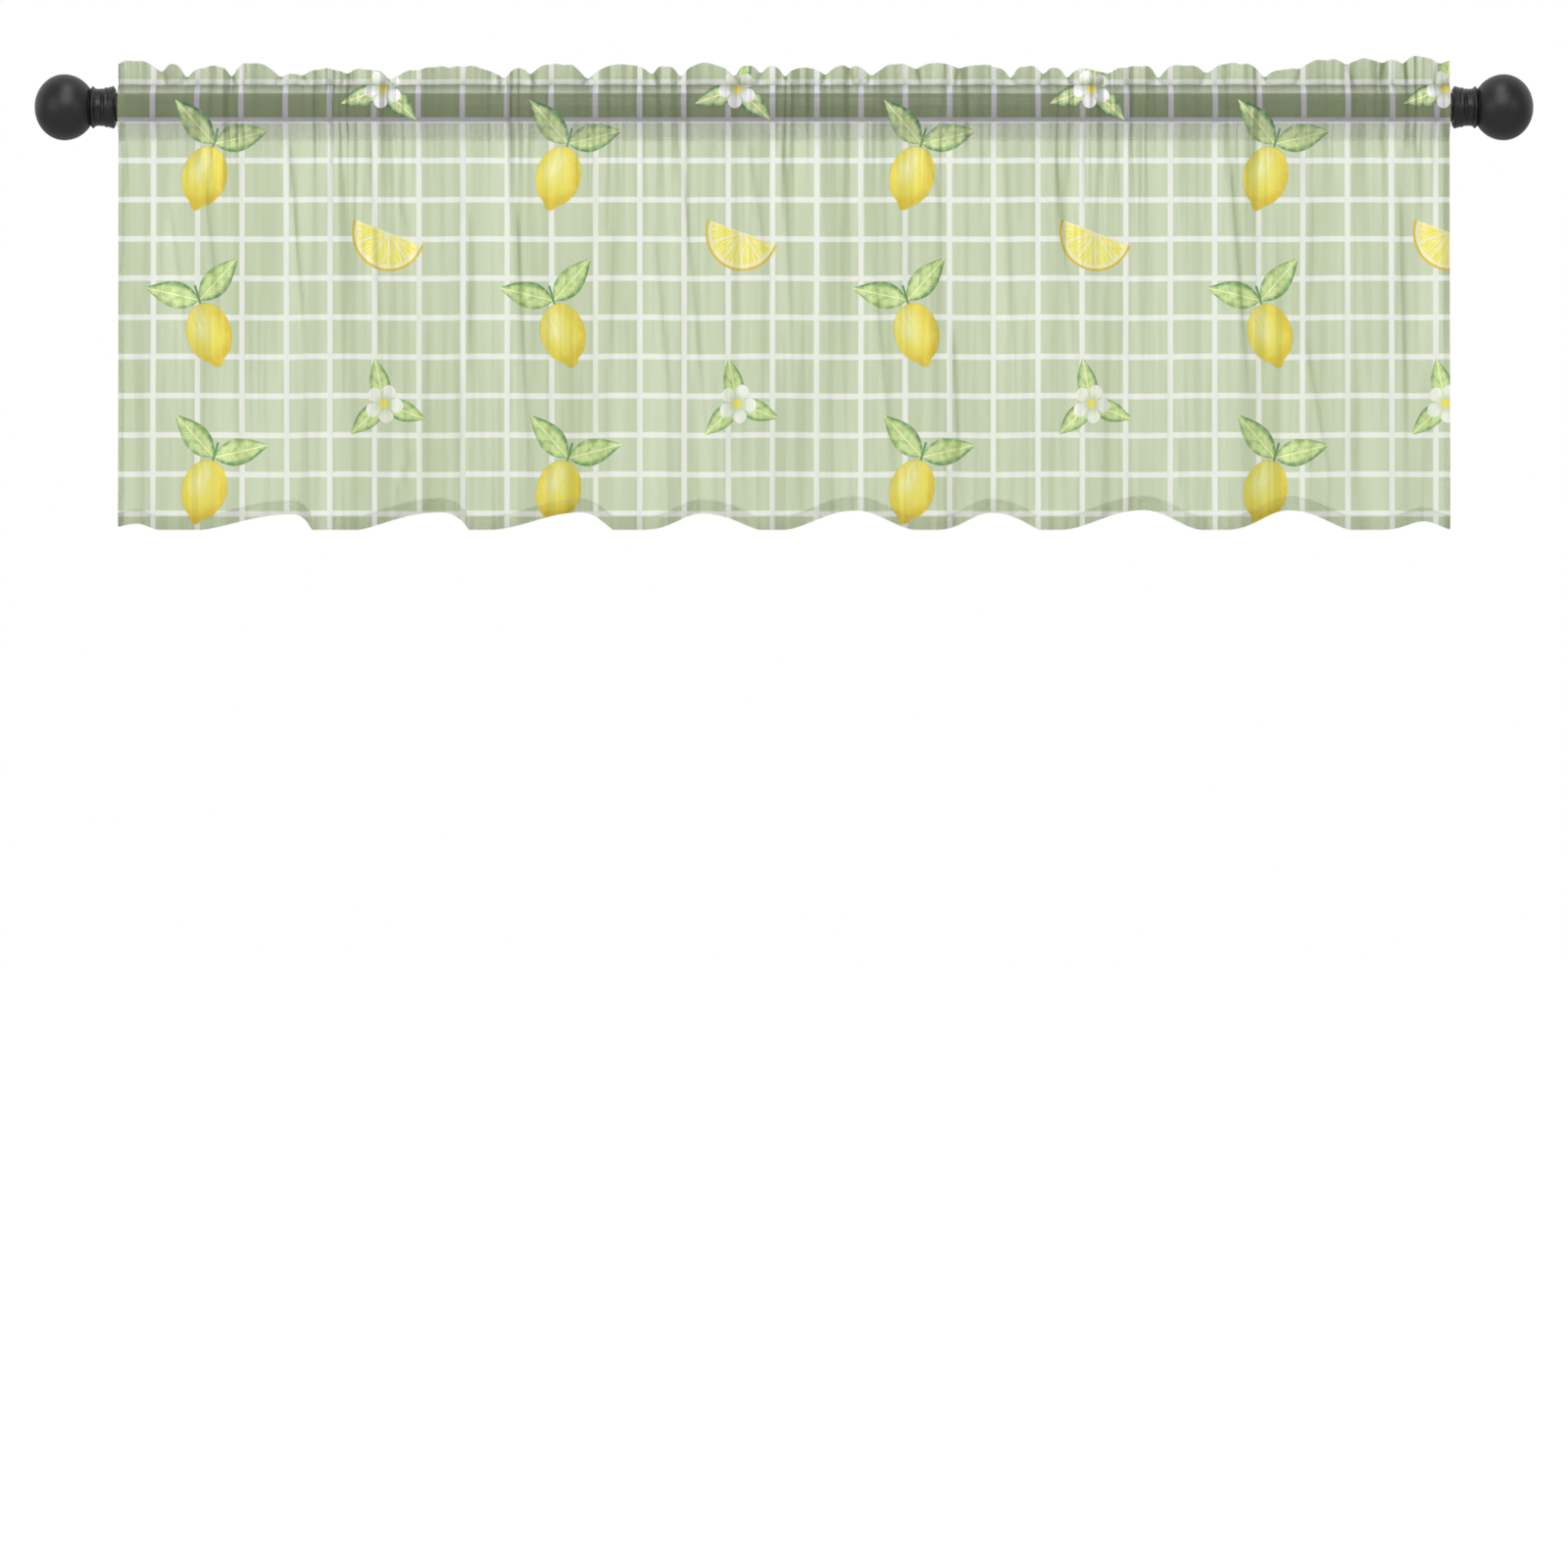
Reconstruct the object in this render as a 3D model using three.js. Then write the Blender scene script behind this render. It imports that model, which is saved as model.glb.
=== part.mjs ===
// Rod-pocket valance: one panel of sheer cloth on a round metal rod with a ball finial at each end.
// Millimetres. X runs along the rod, Z is up and the room side is -Y.
// The origin is on the rod's axis, half way along it.

import * as THREE from 'three';

// Rod
const ROD_RADIUS = 14;
const ROD_WALL = 1;
const FIT_GAP = 0.3;
const ROUND_SIDES = 24;

// Finials, measured outwards from the collar's inner face
const COLLAR_FACE_X = 655.5;
const COLLAR_LENGTH = 25.7;
const SOCKET_DEPTH = 20;
const BALL_CENTRE = 51;
const BALL_RADIUS = 32.4;
const BALL_OUTER_REACH = 29;
const BALL_INNER_REACH = 31;
const BALL_STEPS = 14;

// Turned outline of a collar: flare ring at the rod, hollow neck, bead at the ball
const COLLAR_OUTLINE = [
  { along: 0, radius: 17 },
  { along: 1.2, radius: 19.7 },
  { along: 3.6, radius: 21.2 },
  { along: 5.4, radius: 20.8 },
  { along: 8.5, radius: 19.9 },
  { along: 13, radius: 18.5 },
  { along: 19, radius: 18.3 },
  { along: 20.4, radius: 19.2 },
  { along: 22.4, radius: 20.7 },
  { along: 24.4, radius: 20.2 },
  { along: COLLAR_LENGTH, radius: 18.8 },
];

// Panel as it hangs
const PANEL_WIDTH = 1306;
const CLOTH = 1.2;
const HEM_LOW = -415;
const HEM_BAND = 14;
const SIDE_HEM = 6;
const STEP_RUN = 0.6;
const STATION_PITCH = 8.6;

// Rod pocket between its two seams
const SEAM_TOP = 22;
const SEAM_LOW = -30;
const BACK_EDGE = -33;
const POCKET_SLACK = 2.2;
const POCKET_HALF = ROD_RADIUS + POCKET_SLACK;
const POCKET_STRAIGHT = 8;
const POCKET_WALL = 1.4;
const POCKET_SWELL = 0.7;
const CAVITY_LOW = -28;
const CAVITY_TOP = 20.5;

// How far the folds swing to and fro
const SEAM_SWING = 1.5;
const HEADING_SWING = 3.5;
const HEADING_PUFF = 1.4;
const HEADING_GAP = 0.4;
const HEADING_FOLD = 1.5;
const FLUTE_FORWARD = -12;
const FLUTE_DEPTH_PER_LIFT = 1.2;
const FOLD_SLANT = 15;
const FLUTE_GROWTH = 0.8;
const GATHER_FADE = 2;

// Levels of the skirt, as shares of the way from the pocket down to the hem
const SKIRT_LEVELS = [0.18, 0.42, 0.72];

// Heading ruffle, a row for each lobe: where it crests and how high, then the dip after it
const CREST_ROUNDING = 3;
const HEADING_LEFT_END = { dip: -663, floor: 34 };
const HEADING_LOBES = [
  { crest: -645.5, top: 45, dip: -610, floor: 33 },
  { crest: -597, top: 41.5, dip: -587, floor: 28 },
  { crest: -561, top: 40, dip: -542.5, floor: 28 },
  { crest: -519.5, top: 43, dip: -494.5, floor: 28.5 },
  { crest: -479, top: 32.5, dip: -472, floor: 31.5 },
  { crest: -446, top: 37, dip: -430, floor: 33 },
  { crest: -412.5, top: 37, dip: -388.5, floor: 26.5 },
  { crest: -310, top: 39.5, dip: -274, floor: 27 },
  { crest: -261.5, top: 37.5, dip: -250, floor: 31.5 },
  { crest: -216.5, top: 42, dip: -193, floor: 26.5 },
  { crest: -161.5, top: 41.5, dip: -128.5, floor: 30.5 },
  { crest: -115.5, top: 40, dip: -101, floor: 29.5 },
  { crest: -80, top: 42.5, dip: -48, floor: 26.5 },
  { crest: -34.5, top: 41, dip: -23, floor: 31 },
  { crest: -12.5, top: 40, dip: 1, floor: 26.5 },
  { crest: 21, top: 38.5, dip: 40.5, floor: 30.5 },
  { crest: 56, top: 40.5, dip: 64.5, floor: 35 },
  { crest: 71, top: 40, dip: 85.5, floor: 29.5 },
  { crest: 113.5, top: 42, dip: 130, floor: 36 },
  { crest: 152, top: 43, dip: 172, floor: 37.5 },
  { crest: 190.5, top: 41, dip: 223, floor: 26.5 },
  { crest: 239.5, top: 40, dip: 255, floor: 31 },
  { crest: 262.5, top: 38.5, dip: 277.5, floor: 26.5 },
  { crest: 298, top: 37, dip: 316.5, floor: 32.5 },
  { crest: 349, top: 40, dip: 367, floor: 27 },
  { crest: 396.5, top: 41, dip: 413.5, floor: 33 },
  { crest: 443.5, top: 43, dip: 471.5, floor: 26.5 },
  { crest: 498.5, top: 37.5, dip: 506, floor: 37 },
  { crest: 531, top: 46.5, dip: 553, floor: 41 },
  { crest: 574.5, top: 47, dip: 588, floor: 41.5 },
  { crest: 597.5, top: 46.5, dip: 608, floor: 41.5 },
  { crest: 625.5, top: 49.5, dip: 642.5, floor: 43 },
  { crest: 655, top: 44.5, dip: 664, floor: 42 },
];

// Arches of the hem between the folds that hang forward, a row for each: where it leaves the low edge, where
// it is half way up, its crest, where it is half way down, where it is down again, and how high it is
const HEM_ARCHES = [
  { foot: -662, up: -652, crest: -634, down: -623, heel: -611, lift: 6.2 },
  { foot: -572, up: -536, crest: -491, down: -467.5, heel: -460, lift: 15.8 },
  { foot: -417.5, up: -387, crest: -346, down: -316, heel: -308, lift: 17.8 },
  { foot: -289, up: -246, crest: -209, down: -179, heel: -165.5, lift: 17.8 },
  { foot: -139.5, up: -106, crest: -81, down: -45, heel: -24, lift: 16.6 },
  { foot: 0, up: 31, crest: 70, down: 102, heel: 129, lift: 19.7 },
  { foot: 149, up: 178.5, crest: 203, down: 235, heel: 250, lift: 17.3 },
  { foot: 272, up: 309, crest: 353, down: 384, heel: 410, lift: 20.2 },
  { foot: 433, up: 467, crest: 496, down: 532, heel: 555, lift: 20 },
  { foot: 585, up: 610, crest: 628, down: 643, heel: 656, lift: 8.7 },
];

const clothFinish = new THREE.MeshStandardMaterial({ color: 0xc8d3b3, roughness: 0.9, metalness: 0 });
const rodFinish = new THREE.MeshStandardMaterial({ color: 0x2b2b2c, roughness: 0.45, metalness: 0.4 });
const finialFinish = new THREE.MeshStandardMaterial({ color: 0x343436, roughness: 0.5, metalness: 0.3 });

// Height of the heading's edge at x, and its puff: 1 on a crest, -1 in a dip
function headingAt(x) {
  const index = HEADING_LOBES.findIndex((row) => row.dip >= x);
  const lobe = HEADING_LOBES[index];
  const before = HEADING_LOBES[index - 1] ?? HEADING_LEFT_END;
  const side = x < lobe.crest ? before : lobe;
  const share = (x - lobe.crest) / (side.dip - lobe.crest);
  return {
    top: lobe.top - (lobe.top - side.floor) * share ** CREST_ROUNDING,
    puff: Math.cos(Math.PI * share),
  };
}

// Share of an arch's height at a share of the way to its crest, when it is half up at halfWay
function domeShare(way, halfWay) {
  const fullness = Math.log(0.5) / Math.log(halfWay);
  return (1 - Math.cos(Math.PI * way ** fullness)) / 2;
}

// Height by which the hem arches up at x
function archRise(x) {
  const arch = HEM_ARCHES.find((row) => x > row.foot && x < row.heel);
  if (!arch) return 0;
  const [end, halfUp] = x < arch.crest ? [arch.foot, arch.up] : [arch.heel, arch.down];
  const run = arch.crest - end;
  return arch.lift * domeShare((x - end) / run, (halfUp - end) / run);
}

// Middle of the skirt's thickness at x: 0 is the pocket's lower edge and 1 the hem
function skirtSwing(x, share, puff) {
  const flute = FLUTE_FORWARD + FLUTE_DEPTH_PER_LIFT * archRise(x + FOLD_SLANT * (1 - share));
  return flute * share ** FLUTE_GROWTH - SEAM_SWING * puff * (1 - share) ** GATHER_FADE;
}

// Outlines of the cloth in the YZ plane at x: its outside, the rod pocket and the slit in the heading.
// The outside runs up the back and down the front, and the two hollows run the other way round.
function clothSection(x) {
  const { top, puff } = headingAt(x);
  const hemZ = HEM_LOW + archRise(x);
  const hemTop = hemZ + HEM_BAND;
  const sideFold = Math.abs(x) > PANEL_WIDTH / 2 - SIDE_HEM - STEP_RUN / 2 ? CLOTH : 0;
  const half = CLOTH / 2;
  const skirt = SKIRT_LEVELS.map((share) => ({
    y: skirtSwing(x, share, puff),
    z: THREE.MathUtils.lerp(BACK_EDGE, hemTop, share),
  }));
  const hemY = skirtSwing(x, 1, puff);
  const seamY = skirtSwing(x, 0, puff);
  const crownY = -SEAM_SWING * puff;
  const headY = -HEADING_SWING * puff;
  const midY = (crownY + headY) / 2;
  const gap = HEADING_GAP + HEADING_PUFF * (1 + puff);
  const slitLow = SEAM_TOP + CLOTH;
  const slitTop = top - CLOTH - HEADING_GAP;
  const midZ = (slitLow + slitTop) / 2;
  const shoulder = top - HEADING_FOLD / 2;
  const swell = POCKET_SWELL * (1 + puff);
  const wallHalf = POCKET_HALF + POCKET_WALL + swell;
  const wallZ = POCKET_STRAIGHT + POCKET_WALL / 2;
  const cavityHalf = POCKET_HALF + swell;

  const back = [
    [hemY + half + CLOTH, hemZ],
    [hemY + half + CLOTH, hemTop],
    [hemY + half + sideFold, hemTop + STEP_RUN],
    ...skirt.toReversed().map(({ y, z }) => [y + half + sideFold, z]),
    [seamY + half + sideFold, BACK_EDGE],
    [seamY + half + CLOTH, BACK_EDGE + STEP_RUN],
    [seamY + half + CLOTH, SEAM_LOW],
    [wallHalf, -wallZ],
    [wallHalf, wallZ],
    [crownY + CLOTH, SEAM_TOP],
    [midY + gap + CLOTH, midZ],
    [headY + gap / 2 + CLOTH, shoulder],
  ];
  const front = [
    [headY - gap / 2 - CLOTH, shoulder],
    [midY - gap - CLOTH, midZ],
    [crownY - CLOTH, SEAM_TOP],
    [-wallHalf, wallZ],
    [-wallHalf, -wallZ],
    [seamY - half, SEAM_LOW],
    [seamY - half, BACK_EDGE],
    ...skirt.map(({ y, z }) => [y - half, z]),
    [hemY - half, hemTop],
    [hemY - half, hemZ],
  ];
  const pocket = [
    [seamY + half, CAVITY_LOW],
    [-cavityHalf, -POCKET_STRAIGHT],
    [-cavityHalf, POCKET_STRAIGHT],
    [crownY, CAVITY_TOP],
    [cavityHalf, POCKET_STRAIGHT],
    [cavityHalf, -POCKET_STRAIGHT],
  ];
  const slit = [
    [crownY, slitLow],
    [midY - gap, midZ],
    [headY, slitTop],
    [midY + gap, midZ],
  ];
  return [[...back, [headY, top], ...front], pocket, slit];
}

// Places along the panel where its section is taken, closer together at the edges of the side hems
function panelStations() {
  const edge = PANEL_WIDTH / 2;
  const hemInner = edge - SIDE_HEM;
  const flat = hemInner - STEP_RUN;
  const count = Math.round((2 * flat) / STATION_PITCH);
  const middle = Array.from({ length: count + 1 }, (_, i) => -flat + (2 * flat * i) / count);
  return [-edge, -hemInner, ...middle, hemInner, edge];
}

// Closed solid through the sections at the stations, with a cap at each end
function loftSections(stations, sectionAt) {
  const sections = stations.map(sectionAt);
  const pointsPerSection = sections[0].flat().length;
  const positions = [];
  const triangles = [];
  sections.forEach((outlines, i) => {
    outlines.flat().forEach(([y, z]) => positions.push(stations[i], y, z));
  });
  for (let i = 0; i + 1 < stations.length; i++) {
    let start = i * pointsPerSection;
    for (const outline of sections[i]) {
      outline.forEach((_, j) => {
        const here = start + j;
        const beside = start + ((j + 1) % outline.length);
        triangles.push(here, beside, beside + pointsPerSection);
        triangles.push(here, beside + pointsPerSection, here + pointsPerSection);
      });
      start += outline.length;
    }
  }
  for (const [i, facesRight] of [[0, false], [stations.length - 1, true]]) {
    const rings = sections[i].map((outline) => outline.map(([y, z]) => new THREE.Vector2(y, z)));
    const [contour, ...holes] = rings;
    const points = rings.flat();
    const base = i * pointsPerSection;
    for (const face of THREE.ShapeUtils.triangulateShape(contour, holes)) {
      const clockwise = THREE.ShapeUtils.isClockWise(face.map((corner) => points[corner]));
      const ordered = clockwise === facesRight ? face.toReversed() : face;
      triangles.push(...ordered.map((corner) => base + corner));
    }
  }
  const geometry = new THREE.BufferGeometry();
  geometry.setAttribute('position', new THREE.Float32BufferAttribute(positions, 3));
  geometry.setIndex(triangles);
  geometry.computeVertexNormals();
  return geometry;
}

// Turned piece about the X axis from an outline of distances along it and radii
function turned(outline) {
  const profile = outline.map(({ along, radius }) => new THREE.Vector2(radius, along));
  return new THREE.LatheGeometry(profile, ROUND_SIDES).rotateZ(-Math.PI / 2);
}

function valancePanel() {
  const panel = new THREE.Mesh(loftSections(panelStations(), clothSection), clothFinish);
  panel.name = 'valance_panel';
  return panel;
}

function rod() {
  const end = COLLAR_FACE_X + SOCKET_DEPTH - FIT_GAP;
  const bore = ROD_RADIUS - ROD_WALL;
  const tube = turned([
    { along: -end, radius: bore },
    { along: -end, radius: ROD_RADIUS },
    { along: end, radius: ROD_RADIUS },
    { along: end, radius: bore },
    { along: -end, radius: bore },
  ]);
  const mesh = new THREE.Mesh(tube, rodFinish);
  mesh.name = 'rod';
  return mesh;
}

function finialCollar() {
  const socket = ROD_RADIUS + FIT_GAP;
  return turned([
    { along: SOCKET_DEPTH, radius: 0 },
    { along: SOCKET_DEPTH, radius: socket },
    { along: 0, radius: socket },
    ...COLLAR_OUTLINE,
    { along: COLLAR_LENGTH, radius: 0 },
  ]);
}

function finialBall() {
  const seatAlong = COLLAR_LENGTH + FIT_GAP;
  const seatAngle = Math.acos((seatAlong - BALL_CENTRE) / BALL_INNER_REACH);
  const outline = [{ along: seatAlong, radius: 0 }];
  for (let step = 0; step <= BALL_STEPS; step++) {
    const angle = seatAngle * (1 - step / BALL_STEPS);
    const reach = angle > Math.PI / 2 ? BALL_INNER_REACH : BALL_OUTER_REACH;
    outline.push({
      along: BALL_CENTRE + reach * Math.cos(angle),
      radius: step < BALL_STEPS ? BALL_RADIUS * Math.sin(angle) : 0,
    });
  }
  return turned(outline);
}

// A finial for one end of the rod, in a group that carries it to that end
function finial(side, turn) {
  const group = new THREE.Group();
  const collar = new THREE.Mesh(finialCollar(), finialFinish);
  const ball = new THREE.Mesh(finialBall(), finialFinish);
  collar.name = `finial_collar_${side}`;
  ball.name = `finial_ball_${side}`;
  group.add(collar, ball);
  group.rotation.z = turn;
  group.position.x = COLLAR_FACE_X * Math.cos(turn);
  return group;
}

const valanceOnRod = new THREE.Group();
valanceOnRod.add(valancePanel(), rod(), finial('right', 0), finial('left', Math.PI));

export default valanceOnRod;
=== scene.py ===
"""Rod-pocket valance of printed voile on a black rod with ball finials.

X runs along the rod, Z is up and the room side is -Y. The origin is on the rod's axis, half way along it.
Cloth shapes and printed patterns are worked out in millimetres, and meshes are made in metres.
"""

import math
from typing import NamedTuple

import bpy
import numpy as np
from bpy.props import FloatProperty, FloatVectorProperty, IntProperty, PointerProperty
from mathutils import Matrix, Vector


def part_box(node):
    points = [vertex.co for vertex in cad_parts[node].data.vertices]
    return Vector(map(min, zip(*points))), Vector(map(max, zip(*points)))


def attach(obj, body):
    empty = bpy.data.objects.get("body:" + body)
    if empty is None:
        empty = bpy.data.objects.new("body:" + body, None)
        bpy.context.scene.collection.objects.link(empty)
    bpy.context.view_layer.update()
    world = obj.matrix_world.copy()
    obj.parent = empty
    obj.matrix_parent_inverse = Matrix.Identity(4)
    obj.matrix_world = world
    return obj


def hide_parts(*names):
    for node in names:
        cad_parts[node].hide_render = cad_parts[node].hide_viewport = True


bl_info = {
    "name": "Rod-Pocket Valance",
    "version": (1, 0, 0),
    "blender": (4, 5, 0),
    "location": "3D View > Sidebar > Valance",
    "description": "Hangs a printed voile valance on its rod in a plain studio",
    "category": "Add Mesh",
}

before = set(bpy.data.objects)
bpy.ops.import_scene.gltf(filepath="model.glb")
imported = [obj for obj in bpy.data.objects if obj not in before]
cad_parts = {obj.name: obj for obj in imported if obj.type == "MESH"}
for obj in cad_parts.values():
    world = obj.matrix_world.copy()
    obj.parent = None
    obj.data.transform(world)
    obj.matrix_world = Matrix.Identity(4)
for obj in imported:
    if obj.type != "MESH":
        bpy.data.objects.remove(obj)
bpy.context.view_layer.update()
MM = 0.001

# Sizes that the frame gives, in millimetres
PANEL_LOW, PANEL_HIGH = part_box("valance_panel")
ROD_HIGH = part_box("rod")[1]
COLLAR_LOW, COLLAR_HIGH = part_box("finial_collar_right")
BALL_LOW, BALL_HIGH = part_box("finial_ball_right")
PANEL_HALF = PANEL_HIGH.x / MM
HEM_LOW = PANEL_LOW.z / MM
ROD_RADIUS = ROD_HIGH.z / MM
ROD_HALF = ROD_HIGH.x / MM
COLLAR_FACE = COLLAR_LOW.x / MM
COLLAR_LENGTH = (COLLAR_HIGH.x - COLLAR_LOW.x) / MM
BALL_RADIUS = BALL_HIGH.z / MM
BALL_SEAT = BALL_LOW.x / MM
BALL_TIP = BALL_HIGH.x / MM

# Rod pocket and hems of the cloth, in millimetres
SEAM_TOP = 22
SEAM_LOW = -30
BACK_EDGE = -33
HEADING_TURN = 42
POCKET_CLEARANCE = 2.0
POCKET_HALF = ROD_RADIUS + POCKET_CLEARANCE
POCKET_STRAIGHT = 7
POCKET_TOP_ROUNDING = 1.7
POCKET_LOW_ROUNDING = 1.5
POCKET_SWELL = 1.0
HEM_BAND = 14
HEM_SEAM_DOWN = 2
SIDE_HEM = 6
LAYER_GAP = 0.8
FLAT_WIDTH = 1372

# Levels of the cloth's rows: millimetres in the pocket, shares of the height in the heading
FRONT_LEVELS = (SEAM_TOP, 20.4, 17.5, 13.5, 9, 4.5, 0, -4.5, -9, -13.5, -18, -22.5, -26, -28.6, SEAM_LOW)
BACK_LEVELS = (BACK_EDGE, SEAM_LOW, -26, -19, -12, -5, 2, 9, 14, 18.5, SEAM_TOP)
HEADING_FRONT = (0.9, 0.72, 0.5, 0.28, 0.1, 0.03)
HEADING_BACK = (0.25, 0.6, 1)
SKIRT_ROWS = 28

# Place of the turned layers' two finishes after the front's two
TURNED_FINISH = 2

# How dense and dark the sewn seams show at levels of the pocket's front: the upper seam is thick cloth with
# painted shade along it, painted shade fades down below it, and the small values under the rod are faint
# painted shade
SEAMS_AND_SHADE = {SEAM_TOP: 1.0, 20.4: 0.85, 17.5: 0.45, -18: 0.05, -26: 0.07}

# Painted shade just above the pocket's upper seam, at shares of the heading's height
HEADING_SEAM_SHADE = {0.28: 0.1, 0.1: 0.28, 0.03: 0.5}

# Painted shade lines of the small folds in the heading, beside the deepest crease
HEADING_FOLD_SHADE = 0.9
HEADING_FOLD_SHADE_HALF = 2.0
HEADING_FOLD_SHADE_LEAN = 5

# How much sheerer than the rest the cloth shows in the turned layers and in both layers under the rod; under
# the rod the extra sheerness is painted light that lifts the shade of the rod and the pocket above
POCKET_SHEER = 0.28
HEADING_SHEER = 0.4
SIDE_SHEER = 0.4
UNDER_ROD_LIGHTENING_SHEER = 0.13
UNDER_ROD_BACK_LIGHTENING_SHEER = 1.0

# How far the folds swing to and fro, in millimetres, and how they grow towards the hem
SEAM_SWING = 1.5
HEADING_SWING = 3.5
HEADING_PUFF = 1.4
HEADING_GAP = 0.4
HEADING_ROUNDING = 0.8
HEADING_SOFTENING = (-2.4, -1.2, 0, 1.2, 2.4)
CREST_ROUNDING = (2.3, 3.8)
FLUTE_FORWARD = -12
FLUTE_DEPTH_PER_LIFT = 1.2
FLUTE_GROWTH = 0.8
FOLD_SLANT = 15
SWING_FADE = 2

# How much of the gathers' height stands in each place, and how it grows below the pocket
GATHERS_ON_ROD = 0.7
GATHERS_AT_TOP_SEAM = 0.4
GATHERS_AT_LOW_SEAM = 0.5
GATHERS_BETWEEN_CLUSTERS = 0.5
GATHERS_GROW = 0.9
GATHERS_GROW_OVER = 18

# How strongly the painted shade and light of the gathers' fine lines show in each place
FRONT_GATHER_SHADING = 0.95
BACK_GATHER_SHADING = 0.2
HEADING_GATHER_SHADING = 0.8
LEAST_GATHER_SHADING = 0.2


class Lobe(NamedTuple):
    """A lobe of the heading ruffle: where it crests and how high, then the dip to its right."""

    crest: float
    top: float
    dip: float
    floor: float


class Waver(NamedTuple):
    """A small unevenness of the heading's edge: its height, its length and the slow shift of its waves."""

    height: float
    length: float
    shift: float


class Arch(NamedTuple):
    """An arch of the hem: foot, half way up, crest, half way down and heel along the edge, and its height."""

    foot: float
    up: float
    crest: float
    down: float
    heel: float
    lift: float


class Crease(NamedTuple):
    """A narrow trough in the skirt from its upper end to its lower end."""

    x_top: float
    z_top: float
    x_low: float
    z_low: float
    depth: float


class Pleat(NamedTuple):
    """A family of fine gathers: spacing, height, phase, and how its spacing drifts along the rod."""

    pitch: float
    height: float
    phase: float
    drift: float


class Wave(NamedTuple):
    """A slow wave along the rod: its height, the run of one radian, and its phase."""

    height: float
    radian: float
    phase: float


class Step(NamedTuple):
    """A step of the collar's outline: its place along the collar and its radius."""

    along: float
    radius: float


class Ring(NamedTuple):
    """A turned ring on the finial's collar: centre along the collar, half width and rise."""

    centre: float
    half: float
    rise: float


HEADING_LEFT_DIP = -663
HEADING_LEFT_FLOOR = 34
HEADING_LOBES = (
    Lobe(-645.5, 45, -610, 33),
    Lobe(-597, 41.5, -587, 28),
    Lobe(-561, 40, -542.5, 28),
    Lobe(-519.5, 43, -494.5, 28.5),
    Lobe(-479, 32.5, -472, 31.5),
    Lobe(-446, 37, -430, 33),
    Lobe(-412.5, 37, -388.5, 26.5),
    Lobe(-310, 39.5, -274, 27),
    Lobe(-261.5, 37.5, -250, 31.5),
    Lobe(-216.5, 42, -193, 26.5),
    Lobe(-161.5, 41.5, -128.5, 30.5),
    Lobe(-115.5, 40, -101, 29.5),
    Lobe(-80, 42.5, -48, 26.5),
    Lobe(-34.5, 41, -23, 31),
    Lobe(-12.5, 40, 1, 26.5),
    Lobe(21, 38.5, 40.5, 30.5),
    Lobe(56, 40.5, 64.5, 35),
    Lobe(71, 40, 85.5, 29.5),
    Lobe(113.5, 42, 130, 36),
    Lobe(152, 43, 172, 37.5),
    Lobe(190.5, 41, 223, 26.5),
    Lobe(239.5, 40, 255, 31),
    Lobe(262.5, 38.5, 277.5, 26.5),
    Lobe(298, 37, 316.5, 32.5),
    Lobe(349, 40, 367, 27),
    Lobe(396.5, 41, 413.5, 33),
    Lobe(443.5, 43, 471.5, 26.5),
    Lobe(498.5, 37.5, 506, 37),
    Lobe(531, 46.5, 553, 41),
    Lobe(574.5, 47, 588, 41.5),
    Lobe(597.5, 46.5, 608, 41.5),
    Lobe(625.5, 49.5, 642.5, 43),
    Lobe(655, 44.5, 664, 42),
)

HEADING_WAVERS = (Waver(0.5, 19, 110), Waver(0.45, 31, 190))

HEM_ARCHES = (
    Arch(-662, -652, -634, -623, -611, 6.2),
    Arch(-572, -536, -483, -468, -463, 15.8),
    Arch(-417.5, -387, -338, -316, -309, 17.8),
    Arch(-289, -246, -200, -178.5, -167, 17.8),
    Arch(-139.5, -106, -81, -45, -24, 16.6),
    Arch(0, 31, 70, 102, 129, 19.7),
    Arch(149, 178.5, 203, 235, 250, 17.3),
    Arch(272, 309, 353, 384, 410, 20.2),
    Arch(433, 467, 496, 532, 555, 20),
    Arch(585, 610, 628, 643, 656, 8.7),
)

# Widths of a crease's two sides, for its shape and for its painted dark line of shade, then the ridge on its
# left, which is raised and also painted lighter
CREASE_STEEP = 3.2
CREASE_SOFT = 8.0
LINE_STEEP = 1.6
LINE_SOFT = 3.4
RIDGE_HALF = 5.0
RIDGE_AWAY = 7.5
RIDGE_HEIGHT = 0.4
DEEPEST_CREASE = 3.4
SKIRT_CREASES = (
    Crease(-646, -16, -644, -98, 1.6),
    Crease(-604, -89, -580, -269, 2.0),
    Crease(-571, -54, -548, -260, 2.0),
    Crease(-486, -28, -468, -265, 3.2),
    Crease(-406, -25, -395, -269, 2.2),
    Crease(-378, -93, -364, -140, 1.6),
    Crease(-367, -342, -385, -389, 1.8),
    Crease(-308, -98, -310, -312, 2.6),
    Crease(-263, -89, -249, -394, 3.4),
    Crease(-167, -115, -170, -286, 2.0),
    Crease(-127, -123, -110, -312, 2.2),
    Crease(-101, -42, -71, -380, 2.4),
    Crease(-41, -295, -41, -389, 1.8),
    Crease(-37, -25, -15, -166, 1.8),
    Crease(-1, -25, 10, -260, 2.2),
    Crease(91, -175, 106, -363, 2.2),
    Crease(137, -28, 160, -127, 1.8),
    Crease(166, -218, 173, -394, 3.2),
    Crease(194, -28, 192, -115, 1.8),
    Crease(218, -42, 226, -269, 2.0),
    Crease(266, -42, 287, -260, 2.2),
    Crease(390, -321, 388, -389, 1.8),
    Crease(437, -42, 459, -330, 3.2),
    Crease(471, -183, 468, -286, 1.6),
    Crease(512, -227, 540, -389, 2.2),
    Crease(519, -80, 517, -209, 1.6),
    Crease(604, -72, 613, -389, 2.4),
    Crease(621, -28, 626, -124, 1.6),
)

GATHER_PLEATS = (
    Pleat(41, 1.1, 0.4, 390),
    Pleat(23, 0.9, 1.9, 270),
    Pleat(14.5, 0.6, 4.1, 185),
)

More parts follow.
